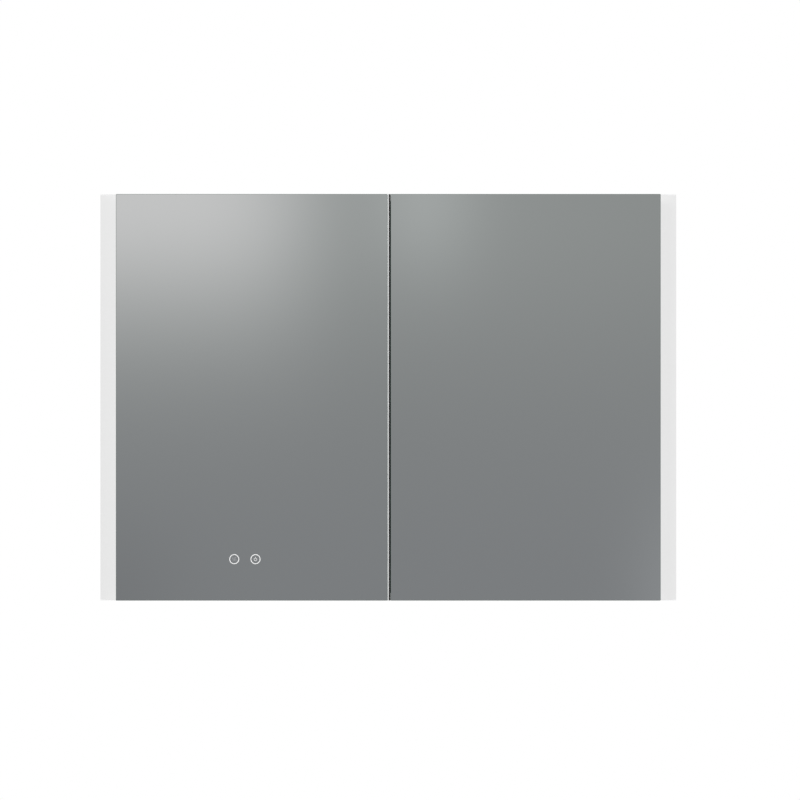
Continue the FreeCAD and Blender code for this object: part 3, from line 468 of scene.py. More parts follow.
def build_handling(name):
    """Faint wiped smears and settled dust, 0 to 1: slow noise through a steep ramp."""
    group, given, out = start_group(
        name, {"Scale": 5.0, "Cover": 0.5}, {"Mask": "NodeSocketFloat"})
    place = group.nodes.new("ShaderNodeTexCoord")
    slow = node(group, "ShaderNodeTexNoise", Detail=6.0, Roughness=0.62, Distortion=0.8)
    link(group, place.outputs["Object"], slow.inputs["Vector"])
    link(group, given.outputs["Scale"], slow.inputs["Scale"])
    above = math_node(group, "SUBTRACT", slow.outputs["Fac"], given.outputs["Cover"])
    mask = math_node(group, "MULTIPLY", above, 3.0, clamp=True)
    link(group, mask, out.inputs["Mask"])
    return group


def placed_group(tree, name, build, **values):
    """A shared group with its own values, built the first time that it is asked for."""
    made = tree.nodes.new("ShaderNodeGroup")
    made.node_tree = bpy.data.node_groups.get(name) or build(name)
    for label, value in values.items():
        made.inputs[label.replace("_", " ")].default_value = value
    return made


def ramp(tree, source, low, high, out_low, out_high):
    """A value taken evenly from low..high to out_low..out_high, and held past both ends."""
    made = tree.nodes.new("ShaderNodeMapRange")
    made.inputs["From Min"].default_value = low
    made.inputs["From Max"].default_value = high
    made.inputs["To Min"].default_value = out_low
    made.inputs["To Max"].default_value = out_high
    link(tree, source, made.inputs["Value"])
    return made.outputs["Result"]


def blend_colours(tree, mask, first, second):
    """The first colour where the mask is 0, the second where it is 1."""
    made = node(tree, "ShaderNodeMix", data_type="RGBA")
    colours = [socket for socket in made.inputs if socket.type == "RGBA"]
    for socket, value in zip(colours, (first, second)):
        if isinstance(value, (tuple, list)):
            socket.default_value = value
        else:
            link(tree, value, socket)
    link(tree, mask, made.inputs[0])
    return [socket for socket in made.outputs if socket.type == "RGBA"][0]


def shade(colour, factor):
    """A colour made lighter or darker, opaque."""
    return (*[min(1.0, channel * factor) for channel in colour[:3]], 1.0)


def surface_of(material):
    """The material's Principled surface."""
    return next(one for one in material.node_tree.nodes if one.type == "BSDF_PRINCIPLED")


def object_axes(tree):
    """The object's own X, Y and Z as outputs."""
    place = tree.nodes.new("ShaderNodeTexCoord")
    parts = tree.nodes.new("ShaderNodeSeparateXYZ")
    link(tree, place.outputs["Object"], parts.inputs[0])
    return parts.outputs


def new_material(name):
    """A material with one Principled surface, as (material, tree, surface)."""
    material = bpy.data.materials.new(name)
    material.use_nodes = True
    return material, material.node_tree, surface_of(material)


def bump(tree, surface, height, distance, strength=1.0, rounded=0.0):
    """A Bump into Normal, over rounded edges where asked."""
    made = node(tree, "ShaderNodeBump", Strength=strength, Distance=distance)
    link(tree, height, made.inputs["Height"])
    if rounded:
        edges = node(tree, "ShaderNodeBevel", Radius=rounded)
        edges.samples = 4
        link(tree, edges.outputs["Normal"], made.inputs["Normal"])
    link(tree, made.outputs["Normal"], surface.inputs["Normal"])


PATCH_SPAN = (0.3, 0.7)          # where nearly all of the patch noise lies
STREAK_SPAN = (0.35, 0.65)       # where nearly all of the streak noise lies
STREAK_GLOSS = 0.02              # roughness that a streak adds or takes
SMEARS_TO_PATCHES = 0.7          # scale of the smears to that of the patches


def finish_material(name, colour, roughness, metallic=0.0, pore=900.0, patch=9.0,
                    depth=0.01 * MM, contrast=0.06, gloss_swing=0.08, rounded=0.0, lines=None,
                    **sockets):
    """The common make-up: a patchy colour, an uneven gloss and a fine bump or drawn lines.

    Pore and patch are the sizes of the grain, contrast and gloss_swing how far the colour and the
    roughness vary, depth the height of the bump; sockets are set on the surface as they are.
    """
    made = bpy.data.materials.get(name)
    if made:
        return made
    material, tree, surface = new_material(name)
    grain = placed_group(tree, "fine_grain", build_fine_grain, Pore_Scale=pore, Patch_Scale=patch)
    smears = placed_group(tree, "handling_marks", build_handling, Scale=patch * SMEARS_TO_PATCHES)
    patches, half_swing = grain.outputs["Patch"], gloss_swing / 2
    tone = ramp(tree, patches, *PATCH_SPAN, 0.0, 1.0)
    base = blend_colours(tree, tone, shade(colour, 1 - contrast), shade(colour, 1 + contrast))
    height = grain.outputs["Height"]
    gloss = ramp(tree, patches, *PATCH_SPAN, roughness - half_swing, roughness + half_swing)
    if lines:
        drawn = placed_group(tree, "drawn_lines", build_drawn_lines, **lines)
        height = drawn.outputs["Height"]
        streaks = ramp(tree, drawn.outputs["Streak"], *STREAK_SPAN, -STREAK_GLOSS, STREAK_GLOSS)
        gloss = math_node(tree, "ADD", gloss, streaks)
    wiped = math_node(tree, "MULTIPLY", smears.outputs["Mask"], gloss_swing)
    gloss = math_node(tree, "ADD", gloss, wiped)
    link(tree, base, surface.inputs["Base Color"])
    link(tree, gloss, surface.inputs["Roughness"])
    surface.inputs["Metallic"].default_value = metallic
    for label, value in sockets.items():
        surface.inputs[label.replace("_", " ")].default_value = value
    bump(tree, surface, height, depth, rounded=rounded)
    return material


UPRIGHT_LINES = {"Across_X": 2600.0, "Across_Y": 2600.0, "Along_Z": 14.0}
LEVEL_LINES = {"Across_X": 14.0, "Across_Y": 2600.0, "Along_Z": 2600.0}


# ---------------------------------------------------------------- finishes

def silver():
    """Silvered float glass: near perfect reflection with the faintest roller wave and dust."""
    made = bpy.data.materials.get("silvered_glass")
    if made:
        return made
    tint = finish().silver_tint
    material, tree, surface = new_material("silvered_glass")
    marks = placed_group(tree, "handling_marks", build_handling, Scale=7.0, Cover=0.56)
    grain = placed_group(tree, "fine_grain", build_fine_grain, Pore_Scale=3.0, Patch_Scale=60.0)
    base = blend_colours(tree, marks.outputs["Mask"], shade(tint, 1.0), shade(tint, 0.992))
    dusty = ramp(tree, marks.outputs["Mask"], 0.0, 1.0, 0.012, 0.03)
    link(tree, base, surface.inputs["Base Color"])
    link(tree, dusty, surface.inputs["Roughness"])
    surface.inputs["Metallic"].default_value = 1.0
    bump(tree, surface, grain.outputs["Height"], 0.004 * MM, strength=0.4)
    return material


def glass_edge():
    """The ground edge of float glass: deep sea green with a satin polish."""
    return finish_material(
        "polished_glass_edge", (0.075, 0.115, 0.10), 0.32, pore=1800.0, patch=40.0,
        contrast=0.12, depth=0.006 * MM)


def backing_paint():
    """The grey paint on the back of a mirror."""
    return finish_material(
        "mirror_backing_paint", (0.33, 0.34, 0.35), 0.42, pore=700.0, patch=14.0,
        contrast=0.05, depth=0.02 * MM)


def case_lacquer():
    """Satin white lacquer with a little orange peel; the front edges are banded."""
    return finish_material(
        "satin_white_lacquer", finish().lacquer, 0.34, pore=420.0, patch=6.0, contrast=0.012,
        depth=0.018 * MM, rounded=0.7 * MM, Coat_Weight=0.25, Coat_Roughness=0.18)


def door_lacquer():
    """Satin grey lacquer of the door cores."""
    return finish_material(
        "satin_grey_lacquer", finish().door_lacquer, 0.38, pore=420.0, patch=6.0, contrast=0.015,
        depth=0.02 * MM, rounded=0.5 * MM, Coat_Weight=0.15, Coat_Roughness=0.2)


# Painted light: the columns glow more beside the doors to fill the shade the doors cast there; this
# is the share left at the outer side.
GLOW_SHARE_PAST_PAINTED_FILL = 0.906       # glow at a light column's outer side, as a share of the inner side's


def opal_acrylic():
    """Frosted acrylic: a soft glow under a fine matt texture. The glow is the columns' lamp light
    and also painted light that evens out their shading: it is fullest beside the doors, as painted
    light filling the shade that the doors cast there, and fades evenly to the outer side."""
    made = bpy.data.materials.get("opal_acrylic")
    if made:
        return made
    material = finish_material(
        "opal_acrylic", finish().opal, 0.48, pore=1500.0, patch=3.0, contrast=0.004,
        gloss_swing=0.04, depth=0.012 * MM, Emission_Strength=finish().glow)
    tree = material.node_tree
    low, high = corners("right_light_diffuser")
    aside = math_node(tree, "ABSOLUTE", object_axes(tree)["X"])
    outward = ramp(tree, aside, low[0], high[0], 0.0, 1.0)
    # Painted light: the emission is brightest beside the doors, filling their shade on the columns.
    glow = blend_colours(tree, outward, WHITE, shade(WHITE, GLOW_SHARE_PAST_PAINTED_FILL))
    link(tree, glow, surface_of(material).inputs["Emission Color"])
    return material


def satin_aluminium(level=False):
    """Satin anodised extrusion, drawn upright or level."""
    name = "satin_aluminium_level" if level else "satin_aluminium_upright"
    return finish_material(
        name, finish().aluminium, 0.32, metallic=1.0, patch=5.0, contrast=0.008, depth=0.0016 * MM,
        rounded=0.25 * MM, lines=LEVEL_LINES if level else UPRIGHT_LINES)


def matt_silver():
    """Matt silver strip, finely drawn along its length."""
    return finish_material(
        "matt_silver_anodised", (0.73, 0.74, 0.74), 0.34, metallic=0.3, patch=11.0, contrast=0.02,
        depth=0.0015 * MM, rounded=0.25 * MM, lines=UPRIGHT_LINES)


def zinc_plate():
    """Bright zinc on steel, slightly mottled."""
    return finish_material(
        "zinc_plate", finish().zinc, 0.30, metallic=1.0, pore=1600.0, patch=60.0, contrast=0.09,
        gloss_swing=0.12, depth=0.008 * MM, rounded=0.15 * MM)


def bright_chrome():
    """Polished chrome."""
    return finish_material(
        "bright_chrome", (0.72, 0.73, 0.75), 0.07, metallic=1.0, pore=900.0, patch=90.0,
        contrast=0.03, gloss_swing=0.04, depth=0.002 * MM)


def powder_coat():
    """White powder coat with a fine texture."""
    return finish_material(
        "white_powder_coat", (0.78, 0.78, 0.78), 0.42, pore=1100.0, patch=12.0, contrast=0.015,
        depth=0.03 * MM)


def moulded(name, colour, roughness=0.45, **more):
    """A moulded plastic or rubber with a fine even grain."""
    return finish_material(
        name, colour, roughness, pore=1300.0, patch=30.0, contrast=0.03, depth=0.015 * MM,
        rounded=0.3 * MM, **more)


def silicone():
    """Clear soft silicone."""
    return finish_material(
        "clear_silicone", (0.72, 0.73, 0.73), 0.35, pore=900.0, patch=50.0, contrast=0.05,
        depth=0.01 * MM, Transmission_Weight=0.35, IOR=1.41)


def fired_enamel():
    """White enamel fired into the glass."""
    return finish_material(
        "white_fired_enamel", (0.95, 0.95, 0.95), 0.4, pore=2600.0, patch=120.0, contrast=0.03,
        depth=0.004 * MM)


def shelf_glass():
    """Clear toughened glass, faintly green, with a few water marks in its gloss."""
    made = bpy.data.materials.get("clear_shelf_glass")
    if made:
        return made
    material, tree, surface = new_material("clear_shelf_glass")
    marks = placed_group(tree, "handling_marks", build_handling, Scale=16.0, Cover=0.58)
    mask = marks.outputs["Mask"]
    base = blend_colours(tree, mask, (0.93, 0.985, 0.965, 1), (0.91, 0.965, 0.945, 1))
    dusty = ramp(tree, mask, 0.0, 1.0, 0.01, 0.06)
    link(tree, base, surface.inputs["Base Color"])
    link(tree, dusty, surface.inputs["Roughness"])
    surface.inputs["Transmission Weight"].default_value = 1.0
    surface.inputs["IOR"].default_value = 1.52
    return material


def heating_foil():
    """Printed foil: dark tracks every few millimetres on clear film."""
    made = bpy.data.materials.get("heating_foil")
    if made:
        return made
    material, tree, surface = new_material("heating_foil")
    place = tree.nodes.new("ShaderNodeTexCoord")
    tracks = node(tree, "ShaderNodeTexWave", Scale=36.0, Distortion=0.0)
    tracks.bands_direction = "Z"
    link(tree, place.outputs["Object"], tracks.inputs["Vector"])
    mask = ramp(tree, tracks.outputs["Fac"], 0.45, 0.55, 0.0, 1.0)
    link(tree, blend_colours(tree, mask, (0.55, 0.42, 0.28, 1), (0.10, 0.09, 0.08, 1)),
         surface.inputs["Base Color"])
    link(tree, ramp(tree, mask, 0, 1, 0.35, 0.5), surface.inputs["Roughness"])
    return material


# ---------------------------------------------------------------- stage

# The card that the mirrors look into. Levels are shares of display white, spreads are metres.
CARD_DISTANCE = 3.0
CARD_HALF = 2.0
CARD_FADE = 0.9
CARD_BASE = 0.491
CARD_RISE = 0.044
CARD_RISE_HEIGHT = 0.6
CARD_GLOW = 0.176
CARD_GLOW_WIDTH = 0.437
CARD_GLOW_EDGE = 5.0
CARD_GLOW_HEIGHT = 0.296
CARD_TAIL = 0.065
CARD_TAIL_WIDTH = 1.2
CARD_LAMP = 0.066
CARD_LAMP_ACROSS = 0.076
CARD_LAMP_WIDTH = 0.118
CARD_LAMP_HEIGHT = 0.179
CARD_SHADE = -0.024
CARD_GLINT = 0.044
CARD_SHADE_WIDTH = 0.17
CARD_GLINT_WIDTH = 0.102
CARD_GLINT_HEIGHT = 0.221
CARD_GAMMA = 2.2
CARD_COOL = (1.0, 0.992, 1.045, 1.0)
CARD_WARM = (1.045, 1.0, 1.01, 1.0)
CARD_BORDER = 4.0        # how steeply the card fades out at its border


def studio_card_material(low, high):
    """A grey-green field, brighter above, with a soft highlight high on the left and a faint
    second one high in the middle.

    Level = base + rise B(up) + glow B(across) B(up) + a wide tail + the second highlight + small
    terms in both lower corners, where B(x) = exp(-|x/w|^p), taken to light by a power. It is
    cooler below, warmer in the highlight, and fades out towards its border.
    """
    material = bpy.data.materials.new("studio_card")
    material.use_nodes = True
    tree = material.node_tree
    tree.nodes.clear()
    axes = object_axes(tree)
    across, up = axes["X"], axes["Z"]

    def bell(source, centre, width, power=2.0):
        """B: 1 at the centre, falling off with the distance over the width."""
        offset = math_node(tree, "DIVIDE", math_node(tree, "SUBTRACT", source, centre), width)
        raised = math_node(tree, "POWER", math_node(tree, "ABSOLUTE", offset), power)
        return math_node(tree, "EXPONENT", math_node(tree, "MULTIPLY", raised, -1.0))

    def both(first, second):
        """Two shapes multiplied."""
        return math_node(tree, "MULTIPLY", first, second)

    above = bell(up, high[2], CARD_RISE_HEIGHT)
    upper = bell(up, high[2], CARD_GLOW_HEIGHT)
    highlight = both(bell(across, low[0], CARD_GLOW_WIDTH, CARD_GLOW_EDGE), upper)
    tail = both(bell(across, low[0], CARD_TAIL_WIDTH), upper)
    lamp = both(
        bell(across, CARD_LAMP_ACROSS, CARD_LAMP_WIDTH), bell(up, high[2], CARD_LAMP_HEIGHT))
    left_corner = both(bell(across, low[0], CARD_SHADE_WIDTH), bell(up, low[2], CARD_SHADE_WIDTH))
    right_corner = both(
        bell(across, high[0], CARD_GLINT_WIDTH), bell(up, low[2], CARD_GLINT_HEIGHT))
    terms = (
        (above, CARD_RISE), (highlight, CARD_GLOW), (tail, CARD_TAIL), (lamp, CARD_LAMP),
        (left_corner, CARD_SHADE), (right_corner, CARD_GLINT),
    )
    level = None
    for shape, share in terms:
        term = math_node(tree, "MULTIPLY", shape, share)
        level = math_node(tree, "ADD", term, CARD_BASE if level is None else level)
    emit = tree.nodes.new("ShaderNodeEmission")
    field = blend_colours(tree, above, CARD_COOL, WHITE)
    link(tree, blend_colours(tree, highlight, field, CARD_WARM), emit.inputs["Color"])
    link(tree, math_node(tree, "POWER", level, CARD_GAMMA), emit.inputs["Strength"])
    border = both(bell(across, 0.0, CARD_FADE), bell(up, 0.0, CARD_FADE))
    clear = tree.nodes.new("ShaderNodeBsdfTransparent")
    mix = tree.nodes.new("ShaderNodeMixShader")
    link(tree, math_node(tree, "MULTIPLY", border, CARD_BORDER, clamp=True), mix.inputs["Fac"])
    link(tree, clear.outputs[0], mix.inputs[1])
    link(tree, emit.outputs[0], mix.inputs[2])
    out = tree.nodes.new("ShaderNodeOutputMaterial")
    link(tree, mix.outputs[0], out.inputs["Surface"])
    return material


# Each area light's place and width; all look at the middle of the cabinet.
LIGHTS = {
    "key_light": ((-3.2, -3.4, 3.4), 2.6),
    "fill_light": ((3.8, -3.0, 1.6), 2.2),
    "back_light": ((-2.0, 3.6, 2.8), 2.2),
}
FLOOR_SIDES = 96
ROOM_BELOW, ROOM_OVERHEAD = 0.55, 1.5       # shares of the room light from below and above
ROOM_LOWEST = -0.6                          # Z of a direction, below which the light stays even


class CABINET_OT_stage(Operator):
    """Camera, pale floor, soft lights and the card that the mirrors look into."""
    bl_idname = "cabinet.stage"
    bl_label = "Stage"

    def execute(self, context):
        settings = context.scene.cabinet_stage
        low, high = (np.array(corner) for corner in CAD_BOX)
        middle = (low + high) / 2
        self.add_camera(context, settings, low, middle)
        self.add_floor(settings, low)
        self.add_card(settings, low, high, middle)
        for name, (spot, width) in LIGHTS.items():
            power = settings.key_power if name == "key_light" else settings.fill_power
            self.add_light(name, power, spot, width, middle)
        self.add_surroundings(context, settings)
        context.scene.view_settings.view_transform = "Standard"
        return {"FINISHED"}

    def add_camera(self, context, settings, low, middle):
        """A long lens, level, that takes in the view width at the face of the mirrors."""
        lens = bpy.data.cameras.new("camera")
        lens.sensor_width = 36.0
        reach = settings.camera_distance + low[1]
        lens.lens = lens.sensor_width * reach / settings.view_width
        lens.clip_end = 100.0
        camera = bpy.data.objects.new("camera", lens)
        camera.location = (
            settings.aim_across, -settings.camera_distance, middle[2] - settings.aim_down)
        camera.rotation_euler = (QUARTER, 0.0, 0.0)
        context.scene.collection.objects.link(camera)
        context.scene.camera = camera

    def add_floor(self, settings, low):
        """A pale disc: radius times (cos t, sin t), t once round."""
        around = np.linspace(0, 2 * math.pi, FLOOR_SIDES, endpoint=False)
        level = np.full(FLOOR_SIDES, low[2] - settings.floor_drop)
        points = np.column_stack([arc((0, 0), settings.floor_radius, around), level])
        data = bpy.data.meshes.new("floor")
        data.from_pydata(points.tolist(), [], [list(range(FLOOR_SIDES))])
        data.materials.append(finish_material(
            "pale_floor", (0.68, 0.68, 0.675), 0.6, pore=120.0, patch=1.2, contrast=0.01,
            depth=0.05 * MM))
        floor = bpy.data.objects.new("floor", data)
        bpy.context.scene.collection.objects.link(floor)

    def add_card(self, settings, low, high, middle):
        """A card in front, seen only by reflections; a mirror point x meets it at
        x (1 + card distance / camera distance)."""
        spread = 1 + CARD_DISTANCE / settings.camera_distance
        points = CARD_HALF * np.array([(-1, 0, -1), (1, 0, -1), (1, 0, 1), (-1, 0, 1)])
        data = bpy.data.meshes.new("studio_card")
        data.from_pydata(points.tolist(), [], [[0, 1, 2, 3]])
        reach = (np.array([low, high]) - middle) * spread
        data.materials.append(studio_card_material(reach[0], reach[1]))
        card = bpy.data.objects.new("studio_card", data)
        card.location = (settings.aim_across * (1 - spread), low[1] - CARD_DISTANCE, middle[2])
        card.visible_camera = False
        card.visible_diffuse = False
        card.visible_shadow = False
        bpy.context.scene.collection.objects.link(card)

    def add_light(self, name, power, spot, size, target):
        """A round soft light turned towards its target."""
        data = bpy.data.lights.new(name, "AREA")
        data.energy = power
        data.shape = "DISK"
        data.size = size
        light = bpy.data.objects.new(name, data)
        light.location = spot
        away = np.array(spot) - target
        yaw = math.atan2(away[0], -away[1])
        pitch = math.atan2(math.hypot(away[0], away[1]), away[2])
        light.rotation_euler = (pitch, 0.0, yaw)
        bpy.context.scene.collection.objects.link(light)

    def add_surroundings(self, context, settings):
        """White to the camera; a soft room, brighter overhead, to everything else."""
        world = bpy.data.worlds.new("studio")
        context.scene.world = world
        world.use_nodes = True
        tree = world.node_tree
        tree.nodes.clear()
        place = tree.nodes.new("ShaderNodeTexCoord")
        parts = tree.nodes.new("ShaderNodeSeparateXYZ")
        link(tree, place.outputs["Generated"], parts.inputs[0])
        overhead = ramp(
            tree, parts.outputs["Z"], ROOM_LOWEST, 1.0,
            ROOM_BELOW * settings.room_light, ROOM_OVERHEAD * settings.room_light)
        room = node(tree, "ShaderNodeBackground", Color=WHITE)
        link(tree, overhead, room.inputs["Strength"])
        white = node(tree, "ShaderNodeBackground", Color=WHITE, Strength=1.0)
        rays = tree.nodes.new("ShaderNodeLightPath")
        mix = tree.nodes.new("ShaderNodeMixShader")
        link(tree, rays.outputs["Is Camera Ray"], mix.inputs["Fac"])
        link(tree, room.outputs[0], mix.inputs[1])
        link(tree, white.outputs[0], mix.inputs[2])
        out = tree.nodes.new("ShaderNodeOutputWorld")
        link(tree, mix.outputs[0], out.inputs["Surface"])


# ---------------------------------------------------------------- mirrors

SILVERED, GROUND, PAINTED = 0, 1, 2
PANE_CORNER = 1.2 * MM
FRONT_ARRIS, INNER_ARRIS = 0.6 * MM, 0.4 * MM
ENAMEL_RELIEF = 0.1 * MM         # the front mirrors stand back by this from their enamelled rings


def pane(name, node_name, facing, body, arris, shift=0.0):
    """A mirror facing -y or +y: a slab with a ground arris, silvered ahead, glass at its edges,
    painted behind. Its face stands back by the shift."""
    low, high = corners(node_name)
    if facing == "+y":
        high[1] -= shift
    else:
        low[1] += shift
    points, faces = slab(low, high, facing, corner=PANE_CORNER, edge=arris)
    kinds = np.full(len(faces), GROUND)
    kinds[-1] = SILVERED
    kinds[-2] = PAINTED
    return add_piece(
        name, (points, faces), body, [silver(), glass_edge(), backing_paint()],
        replaces=(node_name,), parts=kinds)


class CABINET_OT_mirrors(Operator):
    """Front, inner and back mirrors, and the satin strip on the left door."""
    bl_idname = "cabinet.mirrors"
    bl_label = "Mirrors"

    def execute(self, context):
        for side in SIDES:
            door = f"{side}_door"
            pane(f"{side}_mirror_pane", f"{side}_front_mirror", "-y", door, FRONT_ARRIS,
                 shift=ENAMEL_RELIEF)
            pane(f"{side}_inner_pane", f"{side}_inner_mirror", "+y", door, INNER_ARRIS)
            pane(f"{side}_back_pane", f"{side}_back_mirror", "-y", "case", INNER_ARRIS)
        low, high = corners("left_edge_strip")
        add_piece(
            "left_edge_trim", slab(low, high, "-y", corner=0.4 * MM, edge=0.3 * MM), "left_door",
            matt_silver(), replaces=("left_edge_strip",))
        self.gap_seal()
        return {"FINISHED"}

    def gap_seal(self):
        """A lip with a round tip and shallow grooves. Over the width share s from 0 to 1, the
        half thickness shrinks as sqrt(1 - t^2), t over the last half thickness, and the front
        is let in by groove |sin(1.5 pi (s + 1/3))|^8."""
        low, high = corners("door_gap_seal")
        groove_depth, groove_narrowness = 0.3 * MM, 8
        span, half = high[0] - low[0], (high[1] - low[1]) / 2
        share = np.linspace(0, 1, 33)
        across = low[0] + share * span
        middle = high[1] - half
        groove = groove_depth * np.abs(np.sin(1.5 * math.pi * (share + 1 / 3))) ** groove_narrowness
        past = np.clip((share * span - (span - half)) / half, 0, 1)
        tip = np.sqrt(1 - past ** 2)
        front = np.stack([across, middle - half * tip + groove * tip], axis=-1)
        rear = np.stack([across, middle + half * tip], axis=-1)[::-1]
        lip = counter_clockwise(np.concatenate([front, rear[1:]]))
        # The lip is a seal, and its near-black rubber is also painted shade standing in for the
        # dark gap between the doors.
        add_piece("gap_seal_lip", extrusion(lip, "+z", low[2], high[2]), "left_door",
                  moulded("black_seal_rubber_and_gap_shade", (0.014, 0.014, 0.015), 0.7, Specular_IOR_Level=0.3),
                  replaces=("door_gap_seal",))


WAVES = 3                # upright waves of the warm-air sign


class CABINET_OT_touch_icons(Operator):
    """Two enamelled rings low in the left mirror, with a warm-air sign and an on-off sign."""
    bl_idname = "cabinet.touch_icons"
    bl_label = "Touch icons"

    def execute(self, context):
        low, high = corners("touch_icons")
        radius = (high[2] - low[2]) / 2
        level = (high[2] + low[2]) / 2
        width, sunk, recess = 1.4 * MM, 0.2 * MM, 0.02 * MM
        profile = filleted(
            [(radius - width, -sunk), (radius, -sunk), (radius, 0.0), (radius - width, 0.0)],
            0.04 * MM, steps=2)
        centres = [low[0] + radius, high[0] - radius]
        rings = [
            ring_lathe(profile, "-y", (across, low[1], level), sectors=96) for across in centres]
        signs = self.warm_air(centres[0], level) + self.on_off(centres[1], level)
        front = -low[1]
        drawn = [extrusion(line, "-y", front - sunk, front - recess) for line in signs]
        add_piece("touch_rings", merged(rings + drawn[WAVES:]), "left_door", fired_enamel(),
                  replaces=("touch_icons",))
        add_piece("warm_air_sign", merged(drawn[:WAVES]), "left_door",
                  moulded("faint_enamel", (0.42, 0.42, 0.44)))
        return {"FINISHED"}

    def warm_air(self, across, level):
        """Upright waves side by side: x = centre + swing sin(2 pi t), z rising with t."""
        pitch, swing, height, width = 2.4 * MM, 0.5 * MM, 6.4 * MM, 0.7 * MM
        rise = np.linspace(0, 1, 25)
        signs = []
        for shift in pitch * (np.arange(WAVES) - (WAVES - 1) / 2):
            path = np.stack([
                across + shift + swing * np.sin(2 * math.pi * rise),
                level + (rise - 0.5) * height], axis=-1)
            signs.append(counter_clockwise(stroke(path, width)))
        return signs

    def on_off(self, across, level):
        """A circle open above, with the gap angle left out to each side of upright, and an
        upright bar through the opening."""
        gap, radius, drop, width = math.radians(42), 2.4 * MM, 0.3 * MM, 0.8 * MM
        bar_foot, bar_top = 0.9 * MM, 3.9 * MM
        turn = np.linspace(QUARTER + gap, 5 * QUARTER - gap, 49)
        circle = arc((across, level - drop), radius, turn)
        rise = np.linspace(bar_foot, bar_top, 9)
        bar = np.stack([np.full(len(rise), across), level + rise], axis=-1)
        return [counter_clockwise(stroke(line, width)) for line in (circle, bar)]


# ---------------------------------------------------------------- light columns

# The end caps are plastic, not lamps: their glow is painted light to match the lit diffusers.
CAP_PAINTED_GLOW = 0.7           # glow of the end caps, as a share of the diffusers'


def inner_outer(side, low, high):
    """The X of a piece's side towards the doors and of its side away from them."""
    return (high[0], low[0]) if side == "left" else (low[0], high[0])


class CABINET_OT_light_columns(Operator):
    """Opal diffusers, extruded channels and end caps at both ends of the cabinet."""
    bl_idname = "cabinet.light_columns"
    bl_label = "Light columns"

    def execute(self, context):
        for side in SIDES:
            self.diffuser(side)
            self.channel(side)
            self.caps(side)
            coat_node(f"{side}_led_board", moulded("white_solder_mask", (0.78, 0.79, 0.78), 0.3))
            coat_node(f"{side}_led_chips", moulded("led_phosphor", (0.85, 0.66, 0.16), 0.25))
        return {"FINISHED"}

    def diffuser(self, side):
        """An angle section round the column's outer corner, carried upright."""
        low, high = corners(f"{side}_light_diffuser")
        inner, outer = inner_outer(side, low, high)
        wall, round_corner, small = 3.0 * MM, 1.0 * MM, 0.25 * MM
        hollow = outer - AWAY[side] * wall
        outline = [
            (inner, low[1], small), (outer, low[1], round_corner), (outer, high[1], small),
            (hollow, high[1], small), (hollow, low[1] + wall, small), (inner, low[1] + wall, small),
        ]
        add_piece(
            f"{side}_diffuser_profile", extrusion(filleted(outline), "+z", low[2], high[2]), "case",
            opal_acrylic(), replaces=(f"{side}_light_diffuser",),
            bevel=0.2 * MM)

    def channel(self, side):
        """An H section: a web behind the diffuser, a wall against the case and an outer skin."""
        low, high = corners(f"{side}_light_channel")
        web = corners(f"{side}_light_diffuser")[1][1]
        inner, outer = inner_outer(side, low, high)
        wall = 1.5 * MM
        flange = inner + AWAY[side] * wall
        skin = outer - AWAY[side] * wall
        outline = [
            (inner, low[1]), (flange, low[1]), (flange, web), (outer, web), (outer, high[1]),
            (skin, high[1]), (skin, web + wall), (flange, web + wall), (flange, high[1]),
            (inner, high[1]),
        ]
        section = filleted(outline, 0.3 * MM, steps=3)
        add_piece(
            f"{side}_channel_profile", extrusion(section, "+z", low[2], high[2]), "case",
            satin_aluminium(), replaces=(f"{side}_light_channel",))

    def caps(self, side):
        """A round-cornered plate on each end of the column; its plastic glows with painted light.
        """
        low, high = corners(f"{side}_light_caps")
        thickness = 2.0 * MM
        lower = slab(low, (high[0], high[1], low[2] + thickness), "-z", edge=0.25 * MM)
        upper = slab((low[0], low[1], high[2] - thickness), high, "+z", edge=0.25 * MM)
        # Painted light: the caps glow like the diffusers beside them.
        plastic = moulded(
            "painted_glow_white_plastic", (0.40, 0.40, 0.405), 0.4, Emission_Color=WHITE,
            Emission_Strength=CAP_PAINTED_GLOW * finish().glow)
        add_piece(f"{side}_end_caps", merged([lower, upper]), "case", plastic,
                  replaces=(f"{side}_light_caps",))


# ---------------------------------------------------------------- case

class CABINET_OT_case(Operator):
    """Lacquered case boards and door cores, on the frame's own shapes."""
    bl_idname = "cabinet.case"
    bl_label = "Case boards"

    def execute(self, context):
        for board in ("case_top", "case_bottom", "case_left_side", "case_right_side",
                      "centre_divider", "case_back"):
            coat_node(board, case_lacquer())
        for side in SIDES:
            coat_node(f"{side}_door_core", door_lacquer())
        coat_node("case_screws", zinc_plate())
        coat_node("left_demister_pad", heating_foil())
        coat_node("touch_sensor", moulded("dark_sensor_plastic", (0.03, 0.032, 0.035), 0.4))
        for rail in ("wall_rail", "hanging_cleat"):
            coat_node(rail, satin_aluminium(level=True))
        return {"FINISHED"}


